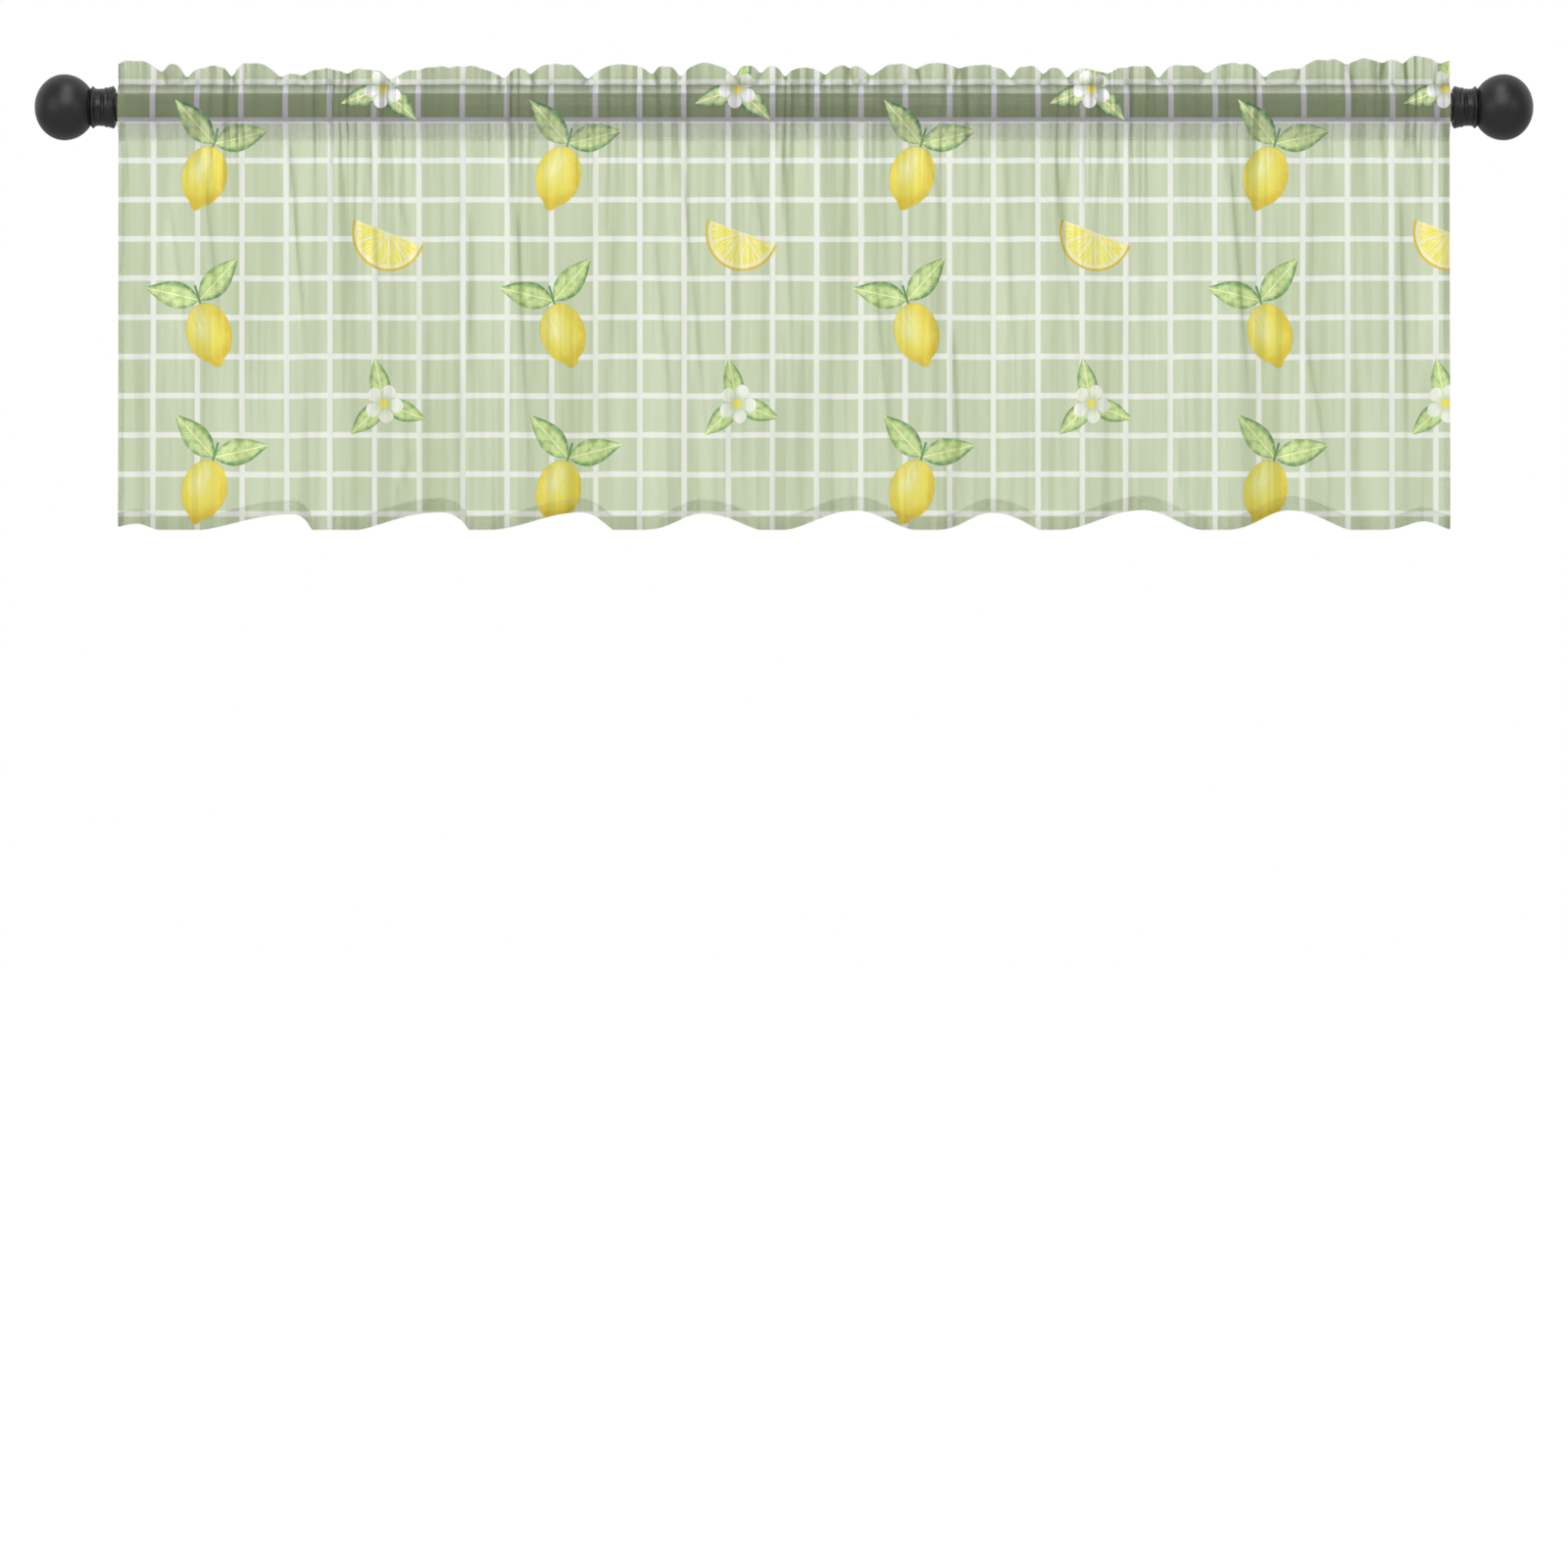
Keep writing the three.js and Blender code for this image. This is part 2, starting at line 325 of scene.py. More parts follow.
COLLAR_RINGS = (
    Ring(3.0, 1.5, 0.55),
    Ring(5.6, 1.0, 0.30),
    Ring(10.0, 1.6, 0.75),
    Ring(13.9, 0.7, 0.55),
    Ring(19.6, 0.7, 0.50),
    Ring(22.6, 2.6, 2.40),
)

# The collar's outline without its rings, and its socket for the rod
COLLAR_STEPS = (
    Step(0, 16.8),
    Step(0.5, 18.2),
    Step(1.6, 19.9),
    Step(3.0, 20.5),
    Step(13.0, 18.2),
    Step(COLLAR_LENGTH, 18.2),
)
RING_ROUNDING = 1.2
SOCKET_CLEARANCE = 0.3
SOCKET_DEPTH = 20.0
TURNING_PITCH = 0.35

# The ball: its middle from the collar's face, its reach towards the collar and the steps of its outline
BALL_MIDDLE = 51.0
BALL_CENTRE = COLLAR_FACE + BALL_MIDDLE
BALL_INNER = 31.0
BALL_STEPS = 48

# Drift and change of the gathers along the rod, the clusters they stand in and how far down they run
PLEAT_DRIFT = 1.6
PLEAT_STRENGTH = 0.65
PLEAT_SLOWER = 1.7
CLUSTER_WAVES = (Wave(1.0, 23.0, 0.6), Wave(0.8, 14.3, 2.0), Wave(0.6, 41.0, 0.0))
CLUSTER_START = -0.6
CLUSTER_FULL = 1.5
CLUSTER_LEAST = 0.3
REACH_MEAN = 60
REACH_WAVES = (Wave(35, 37.0, 0.0), Wave(20, 11.3, 1.0))

# Shares of a crease's length over which it sets in and fades out
CREASE_SETS_IN = (-0.02, 0.12)
CREASE_FADES = (0.5, 1.05)

# Stitches: radius and lift off the cloth in millimetres, sides, the share that shows, and their thin ends
STITCH_RADIUS = 0.15
STITCH_LIFT = 0.1
STITCH_SIDES = 6
STITCH_SHOWS = 0.8
STITCH_ENDS = 0.35
STITCH_TAPER = 0.15

# Mesh columns from a side edge to the seams, and the row from the last at which the side seams end
SEAM_INSET = 4
SIDE_SEAM_END = -6

# The print, in millimetres of flat cloth from its left edge and from the rod's axis
CHECK_FIRST_COLUMN = 36.0
CHECK_FIRST_ROW = -13.9
MOTIF_FIRST_COLUMN = 91
MOTIF_FIRST_ROW = -60

# Squares of the check from one motif to the next, soft edges of the print, and half a yarn's pitch
MOTIF_STEP = 4
CHECK_BLUR = 0.7
MOTIF_BLUR = 0.5
YARN_HALF = 0.225

# The picture's frame: pixels, and the millimetres that one covers at the rod
PICTURE_PIXELS = 1600
MM_PER_PIXEL = 0.962
ROD_PIXEL_ROW = 109.5


# Settings


SHARE = {"subtype": "FACTOR", "min": 0, "max": 1}
TINT = {"subtype": "COLOR", "min": 0, "max": 1}


class ClothSettings(bpy.types.PropertyGroup):
    """Cloth of the valance and its print."""

    thickness: FloatProperty(
        name="Thickness", description="Thickness of the voile", default=0.4 * MM, unit="LENGTH"
    )
    columns: IntProperty(
        name="Columns", description="Mesh columns across the panel", default=740, min=50
    )
    gather: FloatProperty(
        name="Gathers", description="Height of the fine gathers, beside the usual", default=1.0
    )
    crease: FloatProperty(
        name="Creases", description="Depth of the creases, beside the usual", default=1.0
    )
    stitch: FloatProperty(
        name="Stitch length", description="Length of one stitch with the gap after it",
        default=3.2 * MM, unit="LENGTH",
    )
    cover: FloatProperty(
        name="Print cover", description="How much of the view the printed ground hides",
        default=0.526, **SHARE,
    )
    line_cover: FloatProperty(
        name="Line cover", description="How much of the view the check's lines hide", default=0.43, **SHARE
    )
    motif_cover: FloatProperty(
        name="Motif cover", description="How much of the view a fruit or leaf hides", default=0.95, **SHARE
    )
    turned_cover: FloatProperty(
        name="Turned cover", description="How much of the view a turned layer hides", default=0.27, **SHARE
    )
    back_cover: FloatProperty(
        name="Back cover", description="How much of the view the unprinted face hides", default=0.1, **SHARE
    )
    glow_share: FloatProperty(
        name="Glow share", description="Share of the voile that passes light on, softened",
        default=0.25, **SHARE,
    )
    turned_glow_share: FloatProperty(
        name="Turned glow share", description="The same share of a turned layer", default=0.1, **SHARE
    )
    glow: FloatVectorProperty(
        name="Glow", description="Colour of the light through the voile", default=(0.475, 0.79, 0.0), **TINT
    )
    turned_glow: FloatVectorProperty(
        name="Turned glow", description="Colour of the light through a turned layer",
        default=(0.6, 0.6, 0.72), **TINT,
    )
    back_colour: FloatVectorProperty(
        name="Back", description="Colour of the unprinted face", default=(0.74, 0.74, 0.62), **TINT
    )
    sage: FloatVectorProperty(
        name="Ground", description="Colour of the check's ground", default=(0.288, 0.314, 0.222), **TINT
    )
    white: FloatVectorProperty(
        name="Lines", description="Colour of the check's lines", default=(0.82, 0.725, 0.92), **TINT
    )
    column_pitch: FloatProperty(
        name="Check columns", description="Spacing of the upright lines on flat cloth",
        default=45.58 * MM, unit="LENGTH",
    )
    row_pitch: FloatProperty(
        name="Check rows", description="Spacing of the level lines", default=38.51 * MM, unit="LENGTH"
    )
    line_width: FloatProperty(
        name="Line width", description="Width of the check's lines", default=5.4 * MM, unit="LENGTH"
    )
    motif_size: FloatProperty(
        name="Motif size", description="Size of the motifs beside their drawn size", default=1.15
    )


class RodSettings(bpy.types.PropertyGroup):
    """Rod and finials."""

    wall: FloatProperty(
        name="Wall", description="Wall of the rod's tube", default=1.0 * MM, unit="LENGTH"
    )
    edge: FloatProperty(
        name="Edge", description="Bevel of the tube's edges", default=0.25 * MM, unit="LENGTH"
    )
    turning_steps: IntProperty(
        name="Turning steps", description="Facets round a turned piece", default=96, min=12
    )
    rod_colour: FloatVectorProperty(
        name="Rod", description="Colour of the rod's paint", default=(0.016, 0.016, 0.017), **TINT
    )
    finial_colour: FloatVectorProperty(
        name="Finials", description="Colour of the finials' paint", default=(0.006, 0.006, 0.0065), **TINT
    )


class StageSettings(bpy.types.PropertyGroup):
    """Camera, floor and lights."""

    distance: FloatProperty(
        name="Camera distance", description="From the camera to the rod", default=8.0, unit="LENGTH"
    )
    floor_drop: FloatProperty(
        name="Floor", description="From the rod's axis down to the floor", default=1.5, unit="LENGTH"
    )
    key_power: FloatProperty(
        name="Key light", description="Power of the large light in front", default=60, unit="POWER"
    )
    top_power: FloatProperty(
        name="Top light", description="Power of the light from above", default=32, unit="POWER"
    )
    side_power: FloatProperty(
        name="Side light", description="Power of the light at the left", default=22, unit="POWER"
    )
    fill_power: FloatProperty(
        name="Fill light", description="Power of the light at the right", default=14, unit="POWER"
    )
    around: FloatProperty(
        name="Light around", description="Strength of the light all round", default=0.38
    )
    behind: FloatProperty(
        name="Light behind", description="Strength of the light from the back", default=0.95
    )
    down: FloatProperty(
        name="Light on the floor", description="Strength of the light straight down", default=1.6
    )


# Shapes of the cloth


def smooth_rise(value, start, end):
    """0 up to start, 1 from end, smooth between."""
    share = np.clip((value - start) / (end - start), 0, 1)
    return share * share * (3 - 2 * share)


def sum_of_waves(x, waves):
    return sum(wave.height * np.sin(x / wave.radian + wave.phase) for wave in waves)


def heading_lobes(x):
    """Height of the heading's lobes at x, and their puff: 1 on a crest, -1 in a dip."""
    dips = np.array([HEADING_LEFT_DIP] + [lobe.dip for lobe in HEADING_LOBES], float)
    floors = np.array([HEADING_LEFT_FLOOR] + [lobe.floor for lobe in HEADING_LOBES], float)
    index = np.clip(np.searchsorted(dips, x) - 1, 0, len(HEADING_LOBES) - 1)
    crest = np.array([lobe.crest for lobe in HEADING_LOBES], float)[index]
    top = np.array([lobe.top for lobe in HEADING_LOBES], float)[index]
    rises = x < crest
    dip = np.where(rises, dips[index], dips[index + 1])
    floor = np.where(rises, floors[index], floors[index + 1])
    share = (x - crest) / (dip - crest)
    rounding = np.where((index + rises) % 2, *CREST_ROUNDING)
    return top - (top - floor) * share**rounding, np.cos(np.pi * share)


def heading_edge(x):
    """Height of the heading's edge at x, with its dips softened and a little unevenness along it."""
    edge = np.mean([heading_lobes(x + shift)[0] for shift in HEADING_SOFTENING], axis=0)
    for waver in HEADING_WAVERS:
        wave = 2 * np.pi * x / waver.length + 2 * np.sin(2 * np.pi * x / waver.shift)
        edge += waver.height * np.sin(wave)
    return edge


def heading_fold_shading(x, share):
    """Painted shade lines of small folds that run down from the heading's dips, leaning to and fro."""
    dark = np.zeros_like(x)
    lean = HEADING_FOLD_SHADE_LEAN
    for lobe in HEADING_LOBES:
        dark += np.exp(-(((x - lobe.dip - lean * (1 - share)) / HEADING_FOLD_SHADE_HALF) ** 2))
        lean = -lean
    return HEADING_FOLD_SHADE * np.minimum(dark, 1)


def dome_share(way, half_way):
    """Share of an arch's height at a share of the way to its crest, when it is half up at half_way."""
    fullness = math.log(0.5) / math.log(half_way)
    return (1 - np.cos(np.pi * np.clip(way, 0, 1) ** fullness)) / 2


def arch_rise(x):
    """Height by which the hem arches up at x."""
    rise = np.zeros_like(x)
    for arch in HEM_ARCHES:
        left, right = arch.crest - arch.foot, arch.heel - arch.crest
        rising = dome_share((x - arch.foot) / left, (arch.up - arch.foot) / left)
        falling = dome_share((arch.heel - x) / right, (arch.heel - arch.down) / right)
        rise += arch.lift * rising * falling
    return rise


def gathers(x):
    """Height at x of the fine gathers that the pocket draws up: round ridges with sharp valleys between."""
    height = np.zeros_like(x)
    for pleat in GATHER_PLEATS:
        slow = 2 * np.pi * x / pleat.drift
        drift = PLEAT_DRIFT * np.sin(slow + pleat.phase)
        strength = PLEAT_STRENGTH + (1 - PLEAT_STRENGTH) * np.sin(slow / PLEAT_SLOWER - pleat.phase)
        height += pleat.height * strength * np.abs(np.sin(np.pi * x / pleat.pitch + pleat.phase + drift))
    return height


def gather_clusters(x):
    """Share of the gathers at x: they bunch in clusters along the rod."""
    bunched = smooth_rise(sum_of_waves(x, CLUSTER_WAVES), CLUSTER_START, CLUSTER_FULL)
    return CLUSTER_LEAST + (1 - CLUSTER_LEAST) * bunched


def gather_reach(x):
    """How far down the skirt the gathers at x run."""
    return REACH_MEAN + sum_of_waves(x, REACH_WAVES)


def creases(x, z, steep, soft, shift=0):
    """Depth of the creases at points of the skirt, with the widths of their left and right sides."""
    depth = np.zeros_like(x)
    for crease in SKIRT_CREASES:
        share = (crease.z_top - z) / (crease.z_top - crease.z_low)
        away = x - shift - crease.x_top - (crease.x_low - crease.x_top) * share
        width = np.where(away < 0, steep, soft)
        fade = smooth_rise(share, *CREASE_SETS_IN) * (1 - smooth_rise(share, *CREASE_FADES))
        depth += crease.depth * fade * np.exp(-((away / width) ** 2))
    return depth


def creases_and_ridges(x, z, steep, soft):
    """Depth of the creases less the height of the soft ridges that stand on their left."""
    return creases(x, z, steep, soft) - RIDGE_HEIGHT * creases(x, z, RIDGE_HALF, RIDGE_HALF, -RIDGE_AWAY)


def pocket_profile(z):
    """Share of the pocket's half depth at height z: 1 beside the rod, 0 at its two seams."""
    above = np.clip((z - POCKET_STRAIGHT) / (SEAM_TOP - POCKET_STRAIGHT), 0, 1)
    below = np.clip((-POCKET_STRAIGHT - z) / (-POCKET_STRAIGHT - SEAM_LOW), 0, 1)
    return (1 - above**POCKET_TOP_ROUNDING) * (1 - below**POCKET_LOW_ROUNDING)


class PanelShape:
    """Middle surface of the panel: rows up the back, over the heading, down the front and round the hem."""

    def __init__(self, settings):
        self.settings = settings
        main = np.linspace(-PANEL_HALF, PANEL_HALF, settings.columns)
        fold = np.array([SIDE_HEM, SIDE_HEM / 2])
        self.fold_columns = len(fold)
        self.x = np.concatenate([-PANEL_HALF + fold, main, PANEL_HALF - fold[::-1]])
        # 1 where a side is folded over, and half on the fold itself
        self.folded = np.concatenate([[1, 1, 0.5], np.zeros(len(main) - 2), [0.5, 1, 1]])
        self.top, self.puff = heading_edge(self.x), heading_lobes(self.x)[1]
        self.hem = HEM_LOW + arch_rise(self.x)
        self.clusters = gather_clusters(self.x)
        evenness = GATHERS_BETWEEN_CLUSTERS + (1 - GATHERS_BETWEEN_CLUSTERS) * self.clusters
        self.gathers = settings.gather * gathers(self.x) * evenness
        self.low_seam = -SEAM_SWING * self.puff - GATHERS_AT_LOW_SEAM * self.gathers
        self.top_seam = -SEAM_SWING * self.puff - GATHERS_AT_TOP_SEAM * self.gathers
        self.rows = []
        self.named_rows = {}

    def add_row(self, y, z, printed, gather_shading, crease_shading=0, sheer=0, seam=0):
        """Add a row of points, with the height at which its print is taken if that isn't its own."""
        printed = z if printed is None else printed
        row = (y, z, printed, gather_shading, crease_shading, sheer, seam)
        self.rows.append([np.broadcast_to(part, self.x.shape) for part in row])

    def pocket_row(self, z, side, printed):
        """Row of the pocket at height z, in front of the rod (side -1) or behind it (side 1)."""
        profile = pocket_profile(np.array(float(z)))
        seam = self.top_seam if z > 0 else self.low_seam
        half = POCKET_HALF + POCKET_SWELL * (1 + self.puff) / 2 + GATHERS_ON_ROD * self.gathers
        y = (1 - profile) * (seam + side * LAYER_GAP / 2) + side * profile * half
        # Under the rod the cloth is made sheerer as painted light against the shade there
        under_rod = z < -ROD_RADIUS
        if side < 0:
            gather_shading = FRONT_GATHER_SHADING * self.clusters
            sheer = UNDER_ROD_LIGHTENING_SHEER if under_rod else 0
            shows = SEAMS_AND_SHADE.get(z, 0)
        else:
            gather_shading = BACK_GATHER_SHADING * self.clusters
            sheer = UNDER_ROD_BACK_LIGHTENING_SHEER if under_rod else POCKET_SHEER
            shows = 0
        self.add_row(y, z, printed, gather_shading, sheer=sheer, seam=shows)

    def heading_row(self, share, side, printed):
        """Row of the heading at a share of its height, on its front (side -1) or its back (side 1)."""
        sway = self.top_seam * (1 - share) - (HEADING_SWING * self.puff + self.gathers) * share
        swell = HEADING_GAP + HEADING_PUFF * (1 + self.puff)
        gap = LAYER_GAP / 2 * (1 - share) + swell * math.sin(math.pi * share) ** HEADING_ROUNDING
        z = SEAM_TOP + (self.top - SEAM_TOP) * share
        lines = heading_fold_shading(self.x, share)
        sheer = HEADING_SHEER if side > 0 else 0
        seam = HEADING_SEAM_SHADE.get(share, 0) if side < 0 else 0
        self.add_row(sway + side * gap, z, printed, HEADING_GATHER_SHADING * self.clusters, lines, sheer, seam)

    def skirt_row(self, share):
        """Row of the skirt: 0 at the pocket's lower seam and 1 at the hem."""
        z = SEAM_LOW + (self.hem - SEAM_LOW) * share
        flute = FLUTE_FORWARD + FLUTE_DEPTH_PER_LIFT * arch_rise(self.x + FOLD_SLANT * (1 - share))
        y = flute * share**FLUTE_GROWTH - SEAM_SWING * self.puff * (1 - share) ** SWING_FADE
        y = y - LAYER_GAP / 2 * (1 - share)
        below = np.maximum(SEAM_LOW - z, 0)
        grown = GATHERS_AT_LOW_SEAM + np.minimum(below / GATHERS_GROW_OVER, GATHERS_GROW)
        y = y - self.gathers * grown * np.exp(-below / gather_reach(self.x))
        y = y + self.settings.crease * creases_and_ridges(self.x, z, CREASE_STEEP, CREASE_SOFT)
        return y, z

    def skirt_marks(self, z):
        """Strength of the painted shade and light of the gathers and creases along a row of the skirt."""
        below = np.maximum(SEAM_LOW - z, 0)
        gather_shading = self.clusters * np.exp(-below / gather_reach(self.x))
        lines = creases_and_ridges(self.x, z, LINE_STEEP, LINE_SOFT)
        return np.maximum(gather_shading, LEAST_GATHER_SHADING), lines / DEEPEST_CREASE

    def build(self):
        """Points and flat places of the whole panel, as arrays of rows by columns."""
        for z in BACK_LEVELS:
            self.pocket_row(z, 1, 2 * HEADING_TURN - z)
        for share in HEADING_BACK:
            self.heading_row(share, 1, 2 * HEADING_TURN - SEAM_TOP - share * (HEADING_TURN - SEAM_TOP))
        self.named_rows["top edge"] = len(self.rows) - 1
        for share in HEADING_FRONT:
            self.heading_row(share, -1, None)
        self.named_rows["top seam"] = len(self.rows)
        for z in FRONT_LEVELS:
            self.pocket_row(z, -1, None)
        self.named_rows["low seam"] = len(self.rows) - 1
        for share in np.linspace(0, 1, SKIRT_ROWS)[1:-1]:
            y, z = self.skirt_row(share)
            self.add_row(y, z, None, *self.skirt_marks(z))
        self.turn_hem(*self.skirt_row(1.0))
        y, z, v, gather_shading, crease_shading, sheer, seam = np.array(self.rows).transpose(1, 0, 2)
        sheer = np.maximum(sheer, SIDE_SHEER * (self.folded == 1))
        marks = {"gather_shading": gather_shading, "crease_shading": crease_shading, "sheer": sheer, "seam": seam}
        x = np.broadcast_to(self.x, y.shape)
        u = (self.x + PANEL_HALF) * FLAT_WIDTH / (2 * PANEL_HALF)
        flat = np.stack([np.broadcast_to(u, y.shape), v], axis=-1)
        return self.fold_sides(x, y, z), flat, marks

    def turn_hem(self, y, z):
        """Rows round the skirt's low edge and up the hem on its back."""
        marks = self.skirt_marks(z)
        fold = LAYER_GAP / 2
        self.add_row(y, z + fold, None, *marks)
        self.named_rows["hem edge"] = len(self.rows)
        self.add_row(y + fold, z, None, *marks)
        for up in (fold, HEM_BAND / 2, HEM_BAND):
            self.add_row(y + 2 * fold, z + up, z - up, *marks)

    def turned_faces(self):
        """Which faces lie on the back: behind the rod, in the heading's back, and in the hems."""
        turned = np.zeros((len(self.rows) - 1, len(self.x) - 1), bool)
        turned[:self.named_rows["top edge"]] = True
        turned[self.named_rows["hem edge"]:] = True
        turned[:, :self.fold_columns] = True
        turned[:, -self.fold_columns:] = True
        return turned

    def fold_sides(self, x, y, z):
        """Points with the side hems laid onto the wrong side of the cloth."""
        along_y, along_z = np.gradient(y, axis=0), np.gradient(z, axis=0)
        length = np.maximum(np.hypot(along_y, along_z), 1e-6)
        y = y - self.folded * LAYER_GAP * along_z / length
        z = z + self.folded * LAYER_GAP * along_y / length
        return np.stack([x, y, z], axis=-1)


def grid_mesh(name, points, flat, marks, finishes):
    """Mesh of quads over a grid of points, with the flat places as its UV map and the marks as attributes."""
    rows, columns = points.shape[:2]
    corner = np.arange(rows * columns).reshape(rows, columns)
    corners = [corner[:-1, :-1], corner[1:, :-1], corner[1:, 1:], corner[:-1, 1:]]
    quads = np.stack(corners, axis=-1).reshape(-1, 4)
    mesh = bpy.data.meshes.new(name)
    mesh.from_pydata((points * MM).reshape(-1, 3), [], quads.tolist())
    mesh.polygons.foreach_set("material_index", finishes.ravel().astype(np.int32))
    layer = mesh.uv_layers.new(name="flat_cloth")
    layer.uv.foreach_set("vector", (flat * MM).reshape(-1, 2)[quads.ravel()].ravel().astype(np.float32))
    for mark, values in marks.items():
        attribute = mesh.attributes.new(mark, "FLOAT", "POINT")
        attribute.data.foreach_set("value", values.ravel().astype(np.float32))
    mesh.update()
    return mesh


# Small helpers


def deselect_all():
    bpy.ops.object.select_all(action="DESELECT")


def make_active(piece):
    deselect_all()
    piece.select_set(True)
    bpy.context.view_layer.objects.active = piece


def apply_modifier(piece, name, kind, **settings):
    """Add a modifier to a piece and apply it at once."""
    modifier = piece.modifiers.new(name, kind)
    for setting, value in settings.items():
        setattr(modifier, setting, value)
    make_active(piece)
    bpy.ops.object.modifier_apply(modifier=modifier.name)


def smooth_shading(piece, angle):
    make_active(piece)
    bpy.ops.object.shade_smooth_by_angle(angle=math.radians(angle))


def colour(red, green, blue):
    return (red, green, blue, 1.0)


def scaled(tone, factor):
    return colour(*(min(1.0, factor * part) for part in tone))


class Value:
    """Output of a shader node. Arithmetic on it adds the nodes that work out the result."""

    def __init__(self, wires, socket):
        self.wires = wires
        self.socket = socket

    def __add__(self, other):
        return self.wires.math("ADD", self, other)

    def __radd__(self, other):
        return self.wires.math("ADD", other, self)

    def __sub__(self, other):
        return self.wires.math("SUBTRACT", self, other)

    def __rsub__(self, other):
        return self.wires.math("SUBTRACT", other, self)

    def __mul__(self, other):
        return self.wires.math("MULTIPLY", self, other)

    def __rmul__(self, other):
        return self.wires.math("MULTIPLY", other, self)

    def __truediv__(self, other):
        return self.wires.math("DIVIDE", self, other)

    def __rtruediv__(self, other):
        return self.wires.math("DIVIDE", other, self)

    def __pow__(self, exponent):
        return self.wires.math("POWER", self, exponent)


class Wiring:
    """Adds shader nodes to a tree. A socket is fed with a node's value, a number, a vector or a colour."""

    def __init__(self, tree):
        self.tree = tree

    def add(self, kind, **settings):
        node = self.tree.nodes.new(kind)
        for name, value in settings.items():
            setattr(node, name, value)
        return node

    def value(self, node, output=0):
        return Value(self, node.outputs[output])

    def feed(self, socket, value):
        if isinstance(value, Value):
            self.tree.links.new(value.socket, socket)
        else:
            socket.default_value = value

    def math(self, operation, *values):
        """Math node, or a Vector Math node where a value is a vector or a colour."""
        wide = any(isinstance(value, Value) and value.socket.type != "VALUE" for value in values)
        node = self.add("ShaderNodeVectorMath" if wide else "ShaderNodeMath", operation=operation)
        for socket, value in zip(node.inputs, values):
            self.feed(socket, value)
        return self.value(node, "Vector" if wide and operation != "LENGTH" else "Value")

    def split(self, place):
        node = self.add("ShaderNodeSeparateXYZ")
        self.feed(node.inputs[0], place)
        return self.value(node, "X"), self.value(node, "Y")

    def join(self, x, y):
        node = self.add("ShaderNodeCombineXYZ")
        self.feed(node.inputs["X"], x)
        self.feed(node.inputs["Y"], y)
        return self.value(node)

    def reach(self, x, y):
        """Distance of a place from the origin."""
        return self.math("LENGTH", self.join(x, y))

    def turn(self, place, angle):
        """Place turned about the origin."""
        node = self.add("ShaderNodeVectorRotate", rotation_type="Z_AXIS")
        self.feed(node.inputs["Vector"], place)
        self.feed(node.inputs["Angle"], angle)
        return self.value(node)

    def between(self, value, least, most):
        return self.math("MINIMUM", self.math("MAXIMUM", value, least), most)

    def rise(self, value, start, end):
        """0 up to start, 1 from end, smooth between."""
        node = self.add("ShaderNodeMapRange", interpolation_type="SMOOTHSTEP")
        self.feed(node.inputs["Value"], value)
        self.feed(node.inputs["From Min"], start)
        self.feed(node.inputs["From Max"], end)
        return self.value(node, "Result")

    def fall(self, value, start, end):
        """1 up to start, 0 from end, smooth between."""
        return 1.0 - self.rise(value, start, end)

    def blend(self, share, first, second):
        """Colour that goes from first to second."""
        node = self.add("ShaderNodeMix", data_type="RGBA")
        self.feed(node.inputs[0], share)
        self.feed(node.inputs[6], first)
        self.feed(node.inputs[7], second)
        return self.value(node, 2)

    def noise(self, place, scale, detail=2.0, dimensions="2D"):
        node = self.add("ShaderNodeTexNoise", noise_dimensions=dimensions)
        self.feed(node.inputs["Vector"], place)
        node.inputs["Scale"].default_value = scale
        node.inputs["Detail"].default_value = detail
        return self.value(node, "Fac")

    def streaks(self, x, y, across, along, detail=2.0):
        """Noise with its own scale each way."""
        return self.noise(self.join(x * across, y * along), scale=1.0, detail=detail)

    def attribute(self, name):
        return self.value(self.add("ShaderNodeAttribute", attribute_name=name), "Fac")

    def object_place(self):
        return self.value(self.add("ShaderNodeTexCoord"), "Object")

    def seen(self):
        """1 where the camera looks at it, 0 for the light it gives to others."""
        return self.value(self.add("ShaderNodeLightPath"), "Is Camera Ray")

    def group(self, tree, **values):
        """Place a node group, and give its outputs by name."""
        node = self.add("ShaderNodeGroup", node_tree=tree)
        for name, value in values.items():
            self.feed(node.inputs[name], value)
        return {socket.name: Value(self, socket) for socket in node.outputs}


class GroupWiring(Wiring):
    """Wiring of a new shader node group with float, vector or colour sockets. Its inputs are read by name."""

    def __init__(self, name, inputs, outputs):
        super().__init__(bpy.data.node_groups.new(name, "ShaderNodeTree"))
        for direction, sockets in (("INPUT", inputs), ("OUTPUT", outputs)):
            for socket, kind in sockets.items():
                self.tree.interface.new_socket(socket, in_out=direction, socket_type=f"NodeSocket{kind}")
        self.start = self.add("NodeGroupInput")

    def __getitem__(self, name):
        return self.value(self.start, name)

    def finish(self, **values):
        """Feed the group's outputs and give the finished group."""
        end = self.add("NodeGroupOutput")
        for name, value in values.items():
            self.feed(end.inputs[name], value)
        return self.tree


# The print. Its shapes are drawn in millimetres, and its washes mix by shares


LEMON = colour(0.80, 0.64, 0.09)
LEMON_PALE = colour(0.86, 0.79, 0.43)
LEMON_DEEP = colour(0.65, 0.38, 0.0)
PITH = colour(0.80, 0.71, 0.53)
LEAF_LIGHT = colour(0.56, 0.66, 0.33)
LEAF_DARK = colour(0.02, 0.14, 0.08)
LEAF_RIB = colour(0.82, 0.82, 0.46)
PETAL = colour(0.82, 0.79, 0.83)
PETAL_SHADE = colour(0.39, 0.46, 0.30)
SHAPE_INPUTS = {"Place": "Vector"}
SHAPE_OUTPUTS = {"Colour": "Color", "Mask": "Float"}


class Printed(NamedTuple):
    """A printed shape: its colour, and a mask of where it is."""

    colour: object
    mask: object


def over(wires, below, above):
    """One printed shape over another."""
    shown = wires.blend(above.mask, below.colour, above.colour)
    return Printed(shown, wires.math("MAXIMUM", below.mask, above.mask))


